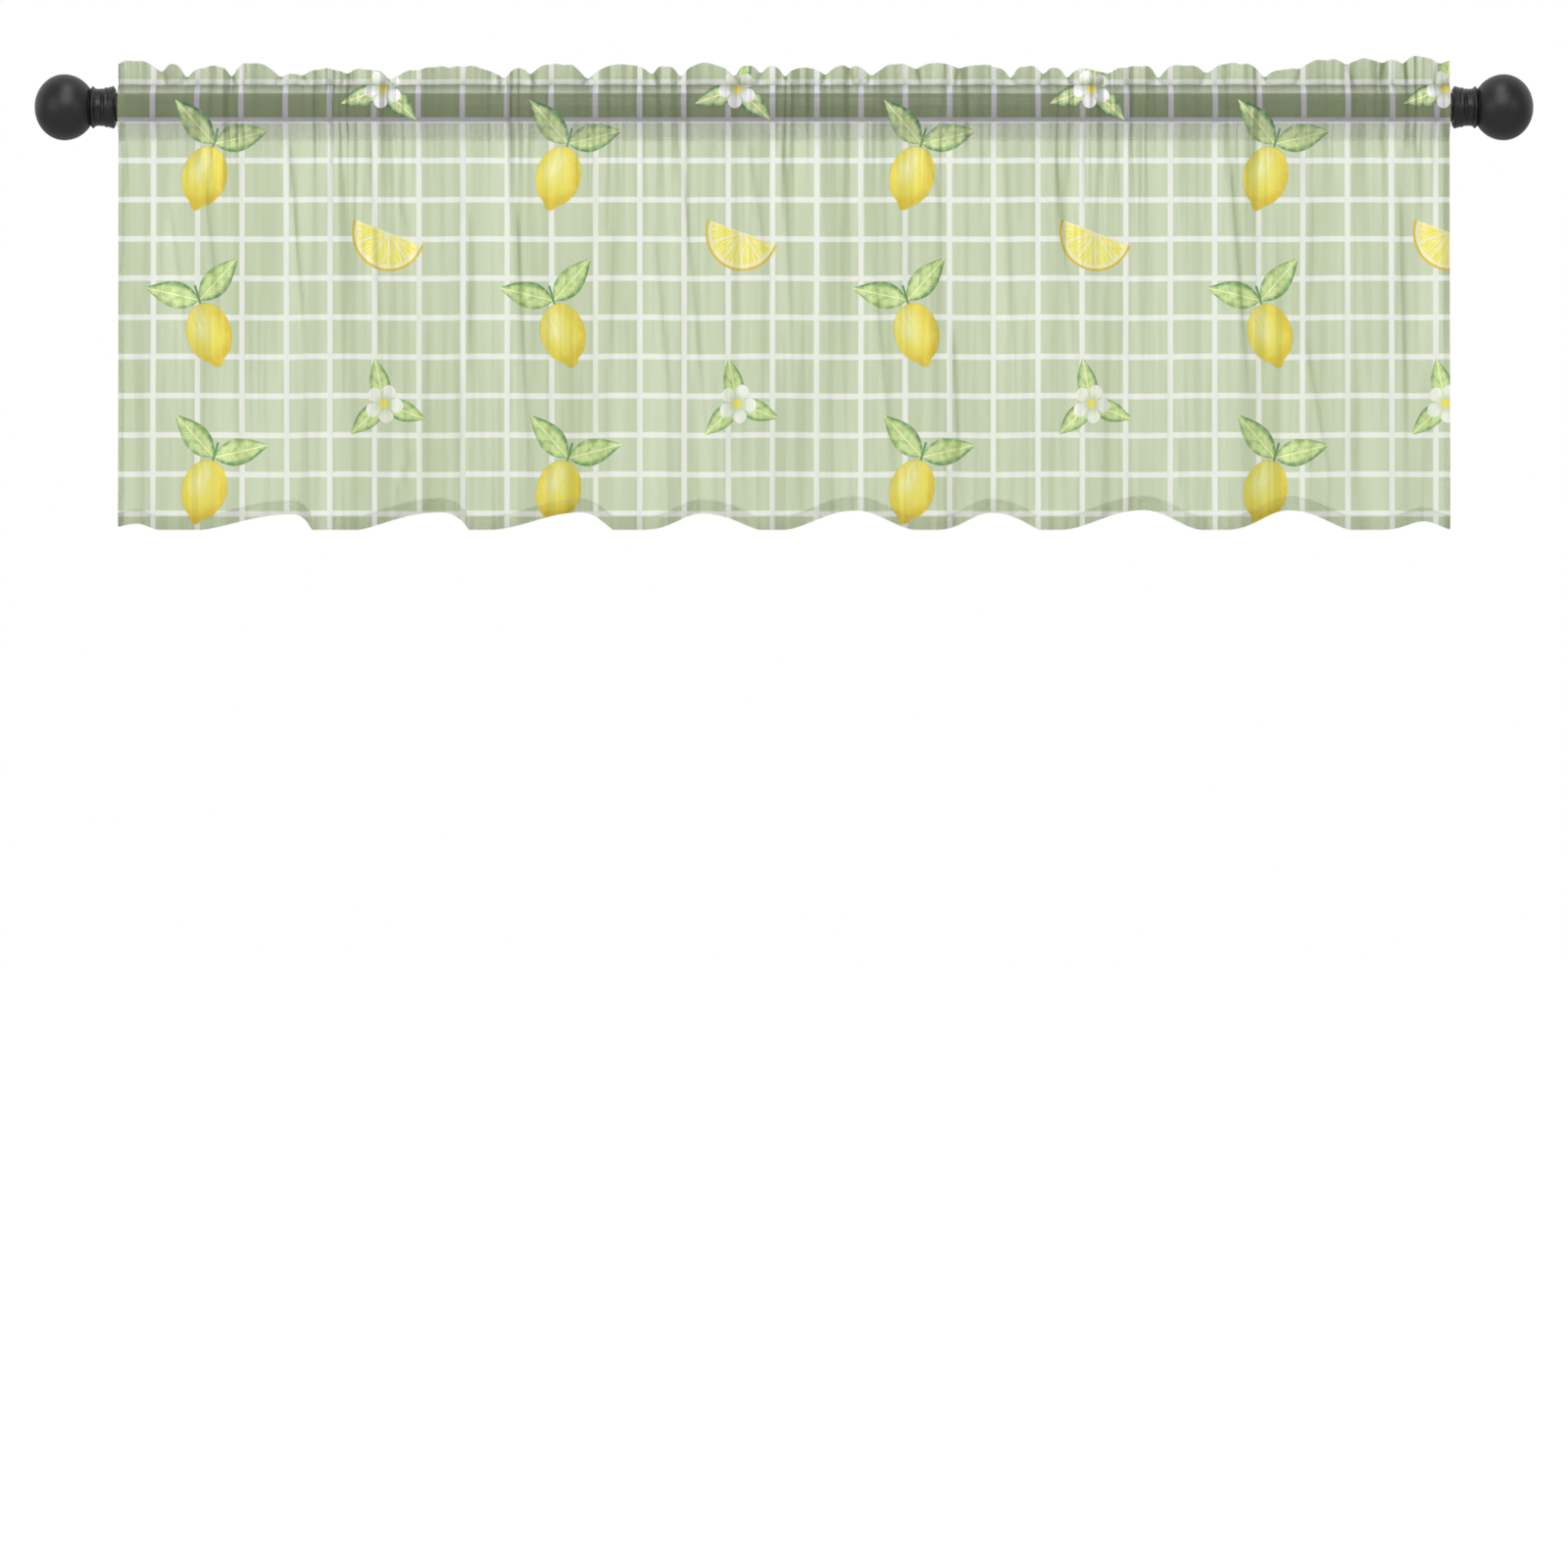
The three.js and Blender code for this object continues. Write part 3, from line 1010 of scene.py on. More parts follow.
def check_group():
    """Mask of the windowpane check's lines."""
    inputs = {"Flat": "Vector", "Columns": "Float", "Rows": "Float", "Width": "Float"}
    wires = GroupWiring("Windowpane check", inputs, {"Lines": "Float"})
    x, y = wires.split(wires["Flat"])
    half = wires["Width"] * 0.5
    masks = []
    for place, first, pitch in ((x, CHECK_FIRST_COLUMN, "Columns"), (y, CHECK_FIRST_ROW, "Rows")):
        away = wires.math("PINGPONG", place - first, wires[pitch] * 0.5)
        masks.append(wires.fall(away, half - CHECK_BLUR, half + CHECK_BLUR))
    return wires.finish(Lines=wires.math("MAXIMUM", *masks))


def repeat_group():
    """Place within one repeat of a motif, from its centre, turned to one side and the other row by row."""
    inputs = {"Flat": "Vector", "Start": "Vector", "Period": "Vector", "Turn": "Float", "Size": "Float"}
    wires = GroupWiring("Motif repeat", inputs, {"Place": "Vector"})
    middle = (0.5, 0.5, 0)
    repeats = (wires["Flat"] - wires["Start"]) / wires["Period"] + middle
    odd_row = wires.math("PINGPONG", wires.math("FLOOR", wires.split(repeats)[1]), 1.0)
    side = 1.0 - odd_row * 2.0
    within = (wires.math("FRACTION", repeats) - middle) * wires["Period"]
    return wires.finish(Place=wires.turn(within, wires["Turn"] * side) * (1.0 / wires["Size"]))


def leaf_group():
    """A pointed leaf from its stalk at the base, upwards along its length, painted in uneven washes."""
    inputs = {"Place": "Vector", "Base": "Vector", "Turn": "Float", "Length": "Float", "Width": "Float"}
    wires = GroupWiring("Citrus leaf", inputs, SHAPE_OUTPUTS)
    place = wires.turn(wires["Place"] - wires["Base"], wires["Turn"])
    x, y = wires.split(place)
    along = wires.between(y / wires["Length"], 0.0, 1.0)
    bow = wires.math("SINE", along**0.8 * math.pi)
    half = wires["Width"] * 0.5 * bow
    side = wires.math("ABSOLUTE", x)
    edge = side / wires.math("MAXIMUM", half, 0.1)
    mask = wires.fall(side - half, -0.4, 0.4) * wires.rise(bow, 0.0, 0.06)
    wash = wires.noise(place, scale=0.14, detail=3.0) - 0.5
    tone = wires.rise(x, -3.0, 3.0) * 0.3 + wash * 1.7 + wires.rise(edge, 0.45, 1.0) * 0.7
    shade = wires.blend(tone, LEAF_LIGHT, LEAF_DARK)
    veins = wires.fall(wires.math("PINGPONG", y - side * 0.9, 3.6), 0.1, 0.8) * wires.fall(edge, 0.35, 0.95)
    rib = wires.fall(side, 0.2, 1.2 - along * 0.6)
    lines = wires.math("MAXIMUM", veins * 0.5, rib * 0.95)
    return wires.finish(Colour=wires.blend(lines, shade, LEAF_RIB), Mask=mask)


def leaves(wires, leaf, place, base, turns, length, width):
    """Leaves that spring from one point."""
    printed = None
    for turn in turns:
        shape = wires.group(leaf, Place=place, Base=(*base, 0), Turn=turn, Length=length, Width=width)
        one = Printed(shape["Colour"], shape["Mask"])
        printed = one if printed is None else over(wires, printed, one)
    return printed


def oval(wires, x, y, centre, half):
    """About how far a place lies outside an upright oval, in millimetres."""
    reach = wires.reach((x - centre[0]) / half[0], (y - centre[1]) / half[1])
    return (reach - 1.0) * min(half)


def lemon_group(leaf):
    """An upright lemon under two leaves that spread to both sides of its stalk."""
    wires = GroupWiring("Lemon sprig", SHAPE_INPUTS, SHAPE_OUTPUTS)
    place = wires["Place"]
    x, y = wires.split(place)
    printed = leaves(wires, leaf, place, base=(0, 22), turns=(-1.05, 1.05), length=50.0, width=23.0)
    stalk = wires.fall(wires.math("ABSOLUTE", x), 0.7, 1.5) * wires.rise(y, 15, 16) * wires.fall(y, 35, 36)
    printed = over(wires, printed, Printed(LEAF_DARK, stalk))
    body = oval(wires, x, y, centre=(0, -7), half=(20.0, 26.0))
    tip = oval(wires, x, y, centre=(0, -32), half=(5.0, 5.5))
    away = wires.math("SMOOTH_MIN", body, tip, 5.0)
    wash = wires.noise(place, scale=0.10, detail=4.0)
    pores = wires.rise(wires.noise(place, scale=0.8, detail=1.0), 0.56, 0.72)
    shaded = wires.rise(x - y * 0.8, -10.0, 30.0)
    deep = wires.rise(away, -13.0, 0.0) * (shaded * 0.75 + 0.25) * (wash * 1.4 + 0.3)
    deep = wires.math("MAXIMUM", deep, wires.rise(away, -1.3, -0.3) * 0.6)
    skin = wires.blend(pores * 0.28 + deep, LEMON, LEMON_DEEP)
    shine = wires.fall(oval(wires, x, y, centre=(-5, 1), half=(8.0, 13.0)), -8.0, 6.0)
    strokes = wires.rise(wires.streaks(x, y, across=0.22, along=0.05, detail=3.0), 0.35, 0.65)
    skin = wires.blend(shine * (strokes * 0.6 + 0.4), skin, LEMON_PALE)
    printed = over(wires, printed, Printed(skin, wires.fall(away, -MOTIF_BLUR, MOTIF_BLUR)))
    return wires.finish(Colour=printed.colour, Mask=printed.mask)


def slice_group():
    """Half a round of lemon with its cut edge upwards: rind, pith, and flesh between membranes."""
    wires = GroupWiring("Half slice", SHAPE_INPUTS, SHAPE_OUTPUTS)
    radius, segments, raised = 33.0, 5, (0, 13, 0)
    x, y = wires.split(wires["Place"] - raised)
    reach = wires.reach(x, y)
    angle = wires.math("ARCTAN2", y, x)
    mask = wires.fall(reach, radius - MOTIF_BLUR, radius + MOTIF_BLUR)
    mask = mask * wires.fall(y, -MOTIF_BLUR, MOTIF_BLUR)
    grain = wires.streaks(angle, reach, across=14.0, along=0.10, detail=3.0)
    flesh = wires.blend(wires.rise(grain, 0.2, 0.65), LEMON_PALE, LEMON)
    gap = wires.math("PINGPONG", angle, math.pi / segments / 2) * reach
    wall = wires.math("MAXIMUM", wires.fall(gap, 0.5, 1.3), wires.rise(y, -1.6, -0.6))
    pith = wires.math("MAXIMUM", wall, wires.rise(reach, radius - 6.0, radius - 4.6))
    rind = wires.rise(reach, radius - 2.6, radius - 1.8)
    cut = wires.blend(rind, wires.blend(pith, flesh, PITH), LEMON_DEEP)
    return wires.finish(Colour=cut, Mask=mask)


def blossom_group(leaf):
    """A five-petalled white blossom on three small leaves."""
    wires = GroupWiring("Blossom sprig", SHAPE_INPUTS, SHAPE_OUTPUTS)
    place = wires["Place"]
    x, y = wires.split(place)
    petals, radius = 5, 17.0
    printed = leaves(wires, leaf, place, base=(0, 0), turns=(0.0, 2.1, -2.1), length=40.0, width=18.0)
    reach = wires.reach(x, y)
    angle = wires.math("ARCTAN2", y, x) + math.pi / 2
    lobe = wires.math("ABSOLUTE", wires.math("COSINE", angle * (petals / 2)))
    edge = radius * (0.42 + 0.58 * lobe**0.45)
    hollow = wires.math("MAXIMUM", wires.fall(lobe, 0.05, 0.45), wires.fall(reach, 3.0, 11.0))
    petal = wires.blend(hollow * 0.7, PETAL, PETAL_SHADE)
    petal = wires.blend(wires.fall(reach, 3.2, 4.6), petal, LEMON)
    printed = over(wires, printed, Printed(petal, wires.fall(reach - edge, -MOTIF_BLUR, MOTIF_BLUR)))
    return wires.finish(Colour=printed.colour, Mask=printed.mask)


def print_group(settings):
    """The whole print on flat cloth: the check with the motifs over it, and masks of lines and motifs."""
    outputs = {"Colour": "Color", "Lines": "Float", "Motifs": "Float"}
    wires = GroupWiring("Citrus print", {"Flat": "Vector"}, outputs)
    flat = wires["Flat"]
    columns, rows, width = settings.column_pitch / MM, settings.row_pitch / MM, settings.line_width / MM
    lines = wires.group(check_group(), Flat=flat, Columns=columns, Rows=rows, Width=width)["Lines"]
    ground = wires.blend(lines, colour(*settings.sage), colour(*settings.white))
    printed = Printed(ground, 0.0)
    leaf, repeat = leaf_group(), repeat_group()
    lemon, half_slice, blossom = lemon_group(leaf), slice_group(), blossom_group(leaf)
    column, row = MOTIF_STEP * columns, MOTIF_STEP * rows
    every_row, every_other = (2 * column, row, 1), (2 * column, 2 * row, 1)
    places = (
        (lemon, 0, 0, 0.3, every_row),
        (half_slice, column, row / 2, 0.35, every_other),
        (blossom, column, 1.5 * row, -0.2, every_other),
    )
    for motif, right, down, turn, period in places:
        first = (MOTIF_FIRST_COLUMN + right, MOTIF_FIRST_ROW - down, 0)
        size = settings.motif_size
        place = wires.group(repeat, Flat=flat, Start=first, Period=period, Turn=turn, Size=size)["Place"]
        shape = wires.group(motif, Place=place)
        printed = over(wires, printed, Printed(shape["Colour"], shape["Mask"]))
    return wires.finish(Colour=printed.colour, Lines=lines, Motifs=printed.mask)


# Materials


# How painted fold and seam shade change the voile's tone and how much of the view it hides, with painted
# light on ridges and light bands down to the lightest fold, and how the yarns change the cover
FOLD_LINES_SHOW = 1.5
FOLD_CREASES_SHOW = 0.85
FOLD_BANDS_SHOW = 1.1
LIGHTEST_FOLD = -0.45
FOLD_DARKENS = 0.57
FOLD_THICKENS = 0.45
SEAM_DARKENS = 0.45
SEAM_THICKENS = 0.9
SHEER_THINS = 0.78
YARN_COVER_LEAST = 0.88
YARN_COVER_MORE = 0.3

# Least cover and darkest tone of the unprinted face, and tones of thread and paint beside their colours
BACK_COVER_LEAST = 0.7
BACK_DARKEST = 0.7
THREAD_DARK = 1.3
THREAD_LIGHT = 1.8
PAINT_DUST = 1.35


class Covers(NamedTuple):
    """How much of the view each part of the print hides."""

    ground: float
    lines: float
    motifs: float


class Finish(NamedTuple):
    """A paint's roughness, and how strongly it mirrors."""

    gloss: float
    shine: float


ROD_FINISH = Finish(0.26, 0.95)
COLLAR_FINISH = Finish(0.32, 0.38)
BALL_FINISH = Finish(0.42, 0.4)


def threads_group():
    """Uneven yarns of the voile: how dense they lie and how high they stand."""
    wires = GroupWiring("Voile yarns", {"Flat": "Vector"}, {"Density": "Float", "Height": "Float"})
    x, y = wires.split(wires["Flat"])
    upright = wires.streaks(x, y, across=0.55, along=0.012, detail=3.0)
    level = wires.streaks(x, y, across=0.010, along=0.7, detail=3.0)
    slub = upright * 0.6 + level * 0.4
    weave = wires.math("PINGPONG", x, YARN_HALF) * wires.math("PINGPONG", y, YARN_HALF) / YARN_HALF**2
    return wires.finish(Density=slub * 0.55 + weave * 0.2, Height=slub + weave * 0.25)


def gather_group():
    """Painted shade and light: fine upright dark and light lines where the cloth is drawn up, and soft darker
    and lighter bands that run all the way down.
    """
    inputs = {"Flat": "Vector", "Gathered": "Float"}
    wires = GroupWiring("Painted gather shading", inputs, {"Lines": "Float", "Bands": "Float"})
    x, y = wires.split(wires["Flat"])
    lines = wires.rise(wires.streaks(x, y, across=0.13, along=0.004), 0.42, 0.62) - 0.45
    bands = wires.streaks(x, y, across=0.045, along=0.0018) - 0.5
    return wires.finish(Lines=lines * wires["Gathered"], Bands=bands)


def paint_group():
    """Sprayed satin paint: a fine uneven skin and a slightly changing gloss."""
    inputs = {"Place": "Vector", "Gloss": "Float"}
    wires = GroupWiring("Satin paint", inputs, {"Roughness": "Float", "Height": "Float"})
    skin = wires.noise(wires["Place"], scale=900.0, dimensions="3D")
    cloud = wires.noise(wires["Place"], scale=60.0, detail=3.0, dimensions="3D")
    return wires.finish(Roughness=wires["Gloss"] + (cloud - 0.5) * 0.16, Height=skin)


def start_material(name, roughness):
    material = bpy.data.materials.new(name)
    material.use_nodes = True
    shader = material.node_tree.nodes["Principled BSDF"]
    shader.inputs["Roughness"].default_value = roughness
    return material, Wiring(material.node_tree), shader


def flat_place(wires):
    """Place on the flat cloth in millimetres, from the piece's own map."""
    return wires.value(wires.add("ShaderNodeUVMap", uv_map="flat_cloth")) * (1 / MM, 1 / MM, 0)


def bump(wires, shader, height, strength, millimetres):
    node = wires.add("ShaderNodeBump")
    node.inputs["Strength"].default_value = strength
    node.inputs["Distance"].default_value = millimetres * MM
    wires.feed(node.inputs["Height"], height)
    wires.feed(shader.inputs["Normal"], wires.value(node))


def printed_voile(name, groups, covers, glow, glow_share):
    """The voile's printed face."""
    material, wires, shader = start_material(name, roughness=0.8)
    flat = flat_place(wires)
    printed = wires.group(groups["print"], Flat=flat)
    threads = wires.group(groups["yarns"], Flat=flat)
    # Painted fold shade: gather lines, bands and crease marks darken the base colour and thicken the cover,
    # and below 0 they are painted light; the seam mark adds painted shade at the seams
    folds = wires.group(groups["gathers"], Flat=flat, Gathered=wires.attribute("gather_shading"))
    seam, sheer = wires.attribute("seam"), wires.attribute("sheer")
    shade = folds["Lines"] * FOLD_LINES_SHOW + wires.attribute("crease_shading") * FOLD_CREASES_SHOW
    shade = wires.between(shade + folds["Bands"] * FOLD_BANDS_SHOW, LIGHTEST_FOLD, 1.0)
    tone = (1.0 - shade * FOLD_DARKENS) * (1.0 - seam * SEAM_DARKENS)
    wires.feed(shader.inputs["Base Color"], printed["Colour"] * tone)
    hides = printed["Lines"] * (covers.lines - covers.ground) + covers.ground
    hides = hides + printed["Motifs"] * (covers.motifs - hides)
    hides = hides * (threads["Density"] * YARN_COVER_MORE + YARN_COVER_LEAST) * (1.0 - sheer * SHEER_THINS)
    for dark, thickens in ((shade, FOLD_THICKENS), (seam, SEAM_THICKENS)):
        hides = hides + (1.0 - hides) * (dark * thickens)
    wires.feed(shader.inputs["Alpha"], hides)
    bump(wires, shader, threads["Height"], strength=0.25, millimetres=0.1)
    shader.inputs["Sheen Weight"].default_value = 0.1
    light = wires.add("ShaderNodeBsdfTranslucent")
    light.inputs["Color"].default_value = colour(*glow)
    mix = wires.add("ShaderNodeMixShader")
    mix.inputs[0].default_value = glow_share
    wires.feed(mix.inputs[1], wires.value(shader))
    wires.feed(mix.inputs[2], wires.value(light))
    wires.feed(material.node_tree.nodes["Material Output"].inputs["Surface"], wires.value(mix))
    return material


def plain_voile(settings, yarns):
    """The voile's unprinted face."""
    material, wires, shader = start_material("plain_voile", roughness=0.85)
    density = wires.group(yarns, Flat=flat_place(wires))["Density"]
    dense = settings.back_colour
    wires.feed(shader.inputs["Base Color"], wires.blend(density, scaled(dense, BACK_DARKEST), colour(*dense)))
    wires.feed(shader.inputs["Alpha"], settings.back_cover * (BACK_COVER_LEAST + density))
    return material


def sewing_thread(settings):
    material, wires, shader = start_material("sewing_thread", roughness=0.6)
    twist = wires.noise(wires.object_place(), scale=700.0, dimensions="3D")
    tone = wires.blend(twist, scaled(settings.sage, THREAD_DARK), scaled(settings.sage, THREAD_LIGHT))
    wires.feed(shader.inputs["Base Color"], tone)
    return material


def satin_paint(name, base, finish, group):
    """Black paint with a fine uneven skin."""
    material, wires, shader = start_material(name, finish.gloss)
    place = wires.object_place()
    paint = wires.group(group, Place=place, Gloss=finish.gloss)
    dust = wires.noise(place, scale=25.0, detail=4.0, dimensions="3D")
    wires.feed(shader.inputs["Base Color"], wires.blend(dust, colour(*base), scaled(base, PAINT_DUST)))
    wires.feed(shader.inputs["Roughness"], paint["Roughness"])
    shader.inputs["Specular IOR Level"].default_value = finish.shine
    bump(wires, shader, paint["Height"], strength=0.12, millimetres=0.05)
    return material


# Pieces


def turn_piece(name, outline, steps):
    """Piece turned about the rod's axis: one vertex is drawn along the outline, then spun full circle."""
    deselect_all()
    bpy.ops.mesh.primitive_plane_add(size=MM)
    piece = bpy.context.active_object
    piece.name = name
    bpy.ops.object.mode_set(mode="EDIT")
    bpy.ops.mesh.select_all(action="SELECT")
    bpy.ops.mesh.merge(type="CENTER")
    points = np.array(outline) * MM
    bpy.ops.transform.translate(value=(points[0][0], 0, points[0][1]))
    for along, out in np.diff(points, axis=0):
        bpy.ops.mesh.extrude_vertices_move(TRANSFORM_OT_translate={"value": (along, 0, out)})
    bpy.ops.mesh.select_all(action="SELECT")
    bpy.ops.mesh.spin(steps=steps, angle=2 * math.pi, center=(0, 0, 0), axis=(1, 0, 0))
    bpy.ops.mesh.select_all(action="SELECT")
    bpy.ops.mesh.remove_doubles(threshold=0.002 * MM)
    bpy.ops.mesh.normals_make_consistent(inside=False)
    bpy.ops.object.mode_set(mode="OBJECT")
    smooth_shading(piece, angle=40)
    return piece


def collar_outline():
    """Outline of a collar from the bottom of its socket, round its mouth and along its turned outside."""
    socket = ROD_RADIUS + SOCKET_CLEARANCE
    along = np.linspace(0, COLLAR_LENGTH, round(COLLAR_LENGTH / TURNING_PITCH))
    radius = np.interp(along, *zip(*COLLAR_STEPS))
    for ring in COLLAR_RINGS:
        away = np.clip(np.abs(along - ring.centre) / ring.half, 0, 1)
        radius = radius + ring.rise * np.cos(away * math.pi / 2) ** RING_ROUNDING
    inside = [(SOCKET_DEPTH, 0), (SOCKET_DEPTH, socket), (0, socket)]
    outline = [*inside, *zip(along, radius), (COLLAR_LENGTH, 0)]
    return [(COLLAR_FACE + place, out) for place, out in outline]


def ball_outline():
    """Outline of a ball from its seat on the collar to its tip, a little flattened on the outside."""
    seat = math.acos((BALL_SEAT - BALL_CENTRE) / BALL_INNER)
    outline = [(BALL_SEAT, 0)]
    for angle in np.linspace(seat, 0, BALL_STEPS):
        reach = BALL_INNER if angle > math.pi / 2 else BALL_TIP - BALL_CENTRE
        outline.append((BALL_CENTRE + reach * math.cos(angle), BALL_RADIUS * math.sin(angle)))
    outline[-1] = (BALL_TIP, 0)
    return outline


def stitch_points(route, settings):
    """Start and end of each stitch along a route on the cloth's middle, lifted onto its printed face."""
    route = route * MM
    lengths = np.concatenate([[0], np.cumsum(np.linalg.norm(np.diff(route, axis=0), axis=1))])
    starts = np.arange(0, lengths[-1] - settings.stitch, settings.stitch)
    ends = starts + STITCH_SHOWS * settings.stitch
    lift = np.array([0, -(settings.thickness / 2 + STITCH_LIFT * MM), 0])
    both = [
        np.stack([np.interp(at, lengths, route[:, axis]) for axis in range(3)], axis=-1) + lift
        for at in (starts, ends)
    ]
    return np.stack(both, axis=1)


def stitch_faces(levels):
    """Faces of one stitch: its sides between the levels, and its two ends."""
    faces = []
    for level in range(levels - 1):
        for k in range(STITCH_SIDES):
            here, beside = level * STITCH_SIDES + k, level * STITCH_SIDES + (k + 1) % STITCH_SIDES
            faces.append((here, beside, beside + STITCH_SIDES, here + STITCH_SIDES))
    last = (levels - 1) * STITCH_SIDES
    return faces + [tuple(range(STITCH_SIDES))[::-1], tuple(range(last, last + STITCH_SIDES))]


def stitch_mesh(name, stitches):
    """Each stitch is a short thread that thins at both ends."""
    shares = np.array([0, STITCH_TAPER, 1 - STITCH_TAPER, 1])
    sizes = np.array([STITCH_ENDS, 1, 1, STITCH_ENDS]) * STITCH_RADIUS * MM
    run = stitches[:, 1] - stitches[:, 0]
    along = run / np.linalg.norm(run, axis=1, keepdims=True)
    side = np.cross(along, np.array([0, 1, 0]))
    side = side / np.linalg.norm(side, axis=1, keepdims=True)
    out = np.cross(side, along)
    angles = np.arange(STITCH_SIDES) * 2 * np.pi / STITCH_SIDES
    ring = side[:, None] * np.cos(angles)[None, :, None] + out[:, None] * np.sin(angles)[None, :, None]
    centres = stitches[:, :1] + run[:, None] * shares[None, :, None]
    points = centres[:, :, None] + ring[:, None] * sizes[None, :, None, None]
    one, count = stitch_faces(len(shares)), len(shares) * STITCH_SIDES
    faces = [tuple(n * count + k for k in face) for n in range(len(stitches)) for face in one]
    mesh = bpy.data.meshes.new(name)
    mesh.from_pydata(points.reshape(-1, 3), [], faces)
    mesh.update()
    return bpy.data.objects.new(name, mesh)


def finish_piece(piece, material):
    """Dress a piece and set it on the body."""
    piece.data.materials.clear()
    piece.data.materials.append(material)
    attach(piece, "root")


class VALANCE_OT_hang_panel(bpy.types.Operator):
    """Hang the voile panel on the rod in its folds"""

    bl_idname = "valance.hang_panel"
    bl_label = "Hang the Panel"

    def execute(self, context):
        settings = context.scene.valance_cloth
        shape = PanelShape(settings)
        points, flat, marks = shape.build()
        mesh = grid_mesh("voile_panel", points, flat, marks, TURNED_FINISH * shape.turned_faces())
        panel = bpy.data.objects.new("voile_panel", mesh)
        context.scene.collection.objects.link(panel)
        for material in self.finishes(settings):
            panel.data.materials.append(material)
        apply_modifier(panel, "Voile", "SOLIDIFY", thickness=settings.thickness, offset=0, material_offset=1,
                       material_offset_rim=1)
        smooth_shading(panel, angle=70)
        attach(panel, "root")
        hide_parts("valance_panel")
        threads = self.sew(context, shape, points)
        drop = np.linalg.norm(np.diff(points[:, :, 1:], axis=0), axis=2).sum(axis=0).mean()
        return {"FINISHED"}

    def finishes(self, settings):
        """Materials of the panel: the front's printed face and back, then those of the turned layers."""
        groups = {"print": print_group(settings), "yarns": threads_group(), "gathers": gather_group()}
        covers = Covers(settings.cover, settings.line_cover, settings.motif_cover)
        front = printed_voile("printed_voile", groups, covers, settings.glow, settings.glow_share)
        covers = Covers(settings.turned_cover, settings.turned_cover, settings.turned_cover)
        glow, glow_share = settings.turned_glow, settings.turned_glow_share
        turned = printed_voile("turned_voile", groups, covers, glow, glow_share)
        plain = plain_voile(settings, groups["yarns"])
        return front, plain, turned, plain

    def sew(self, context, shape, points):
        """Lock stitches along the pocket's two seams, the hem and the side hems, as one mesh."""
        settings = context.scene.valance_cloth
        hem_seam = shape.hem + HEM_BAND - HEM_SEAM_DOWN
        hem_y, hem_z = shape.skirt_row((hem_seam - SEAM_LOW) / (shape.hem - SEAM_LOW))
        hem = np.stack([shape.x, hem_y, hem_z], axis=-1)
        top_seam, low_seam = shape.named_rows["top seam"], shape.named_rows["low seam"]
        across = slice(SEAM_INSET, -SEAM_INSET)
        routes = [
            points[top_seam, across],
            points[low_seam, across],
            hem[across],
            points[low_seam:SIDE_SEAM_END, SEAM_INSET],
            points[low_seam:SIDE_SEAM_END, -SEAM_INSET],
        ]
        stitches = [stitch_points(route, settings) for route in routes]
        threads = stitch_mesh("seam_threads", np.concatenate(stitches))
        context.scene.collection.objects.link(threads)
        finish_piece(threads, sewing_thread(settings))
        return threads


class VALANCE_OT_draw_rod(bpy.types.Operator):
    """Draw the rod's tube and paint it"""

    bl_idname = "valance.draw_rod"
    bl_label = "Draw the Rod"

    def execute(self, context):
        settings = context.scene.valance_rod
        deselect_all()
        bpy.ops.mesh.primitive_cylinder_add(
            vertices=settings.turning_steps, radius=ROD_RADIUS * MM, depth=2 * ROD_HALF * MM,
            end_fill_type="NOTHING", rotation=(0, math.pi / 2, 0),
        )
        tube = context.active_object
        tube.name = "rod_tube"
        bpy.ops.object.transform_apply(location=True, rotation=True, scale=True)
        apply_modifier(tube, "Wall", "SOLIDIFY", thickness=settings.wall, offset=-1)
        apply_modifier(tube, "Edges", "BEVEL", width=settings.edge, segments=2, limit_method="ANGLE")
        smooth_shading(tube, angle=40)
        paint = satin_paint("rod_paint", settings.rod_colour, ROD_FINISH, paint_group())
        finish_piece(tube, paint)
        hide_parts("rod")
        return {"FINISHED"}


class VALANCE_OT_turn_finials(bpy.types.Operator):
    """Turn a collar and a ball for each end of the rod"""

    bl_idname = "valance.turn_finials"
    bl_label = "Turn the Finials"

    def execute(self, context):
        settings = context.scene.valance_rod
        group = bpy.data.node_groups["Satin paint"]
        tone = settings.finial_colour
        parts = {
            "collar": (collar_outline(), satin_paint("collar_paint", tone, COLLAR_FINISH, group)),
            "ball": (ball_outline(), satin_paint("ball_paint", tone, BALL_FINISH, group)),
        }
        for side, sign in (("right", 1), ("left", -1)):
            for part, (outline, paint) in parts.items():
                outline = [(sign * along, radius) for along, radius in outline]
                piece = turn_piece(f"{part}_{side}", outline, settings.turning_steps)
                finish_piece(piece, paint)
                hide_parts(f"finial_{part}_{side}")
        return {"FINISHED"}


# The stage


FLOOR_SIZE = 60
FLOOR_TONES = (colour(0.88, 0.88, 0.87), colour(0.92, 0.92, 0.915))
FLOOR_GIVES = colour(0.4, 0.4, 0.4)
LIGHTS_AIM = (0, 0, -0.2)
WASH_ANGLE = 90
BEHIND_EDGE = 0.3
SHEER_LAYERS = 96
FAR_CLIP = 100


class Lamp(NamedTuple):
    """A round area light: its name, where it stands in metres, its power and its width."""

    name: str
    place: tuple
    power: float
    width: float


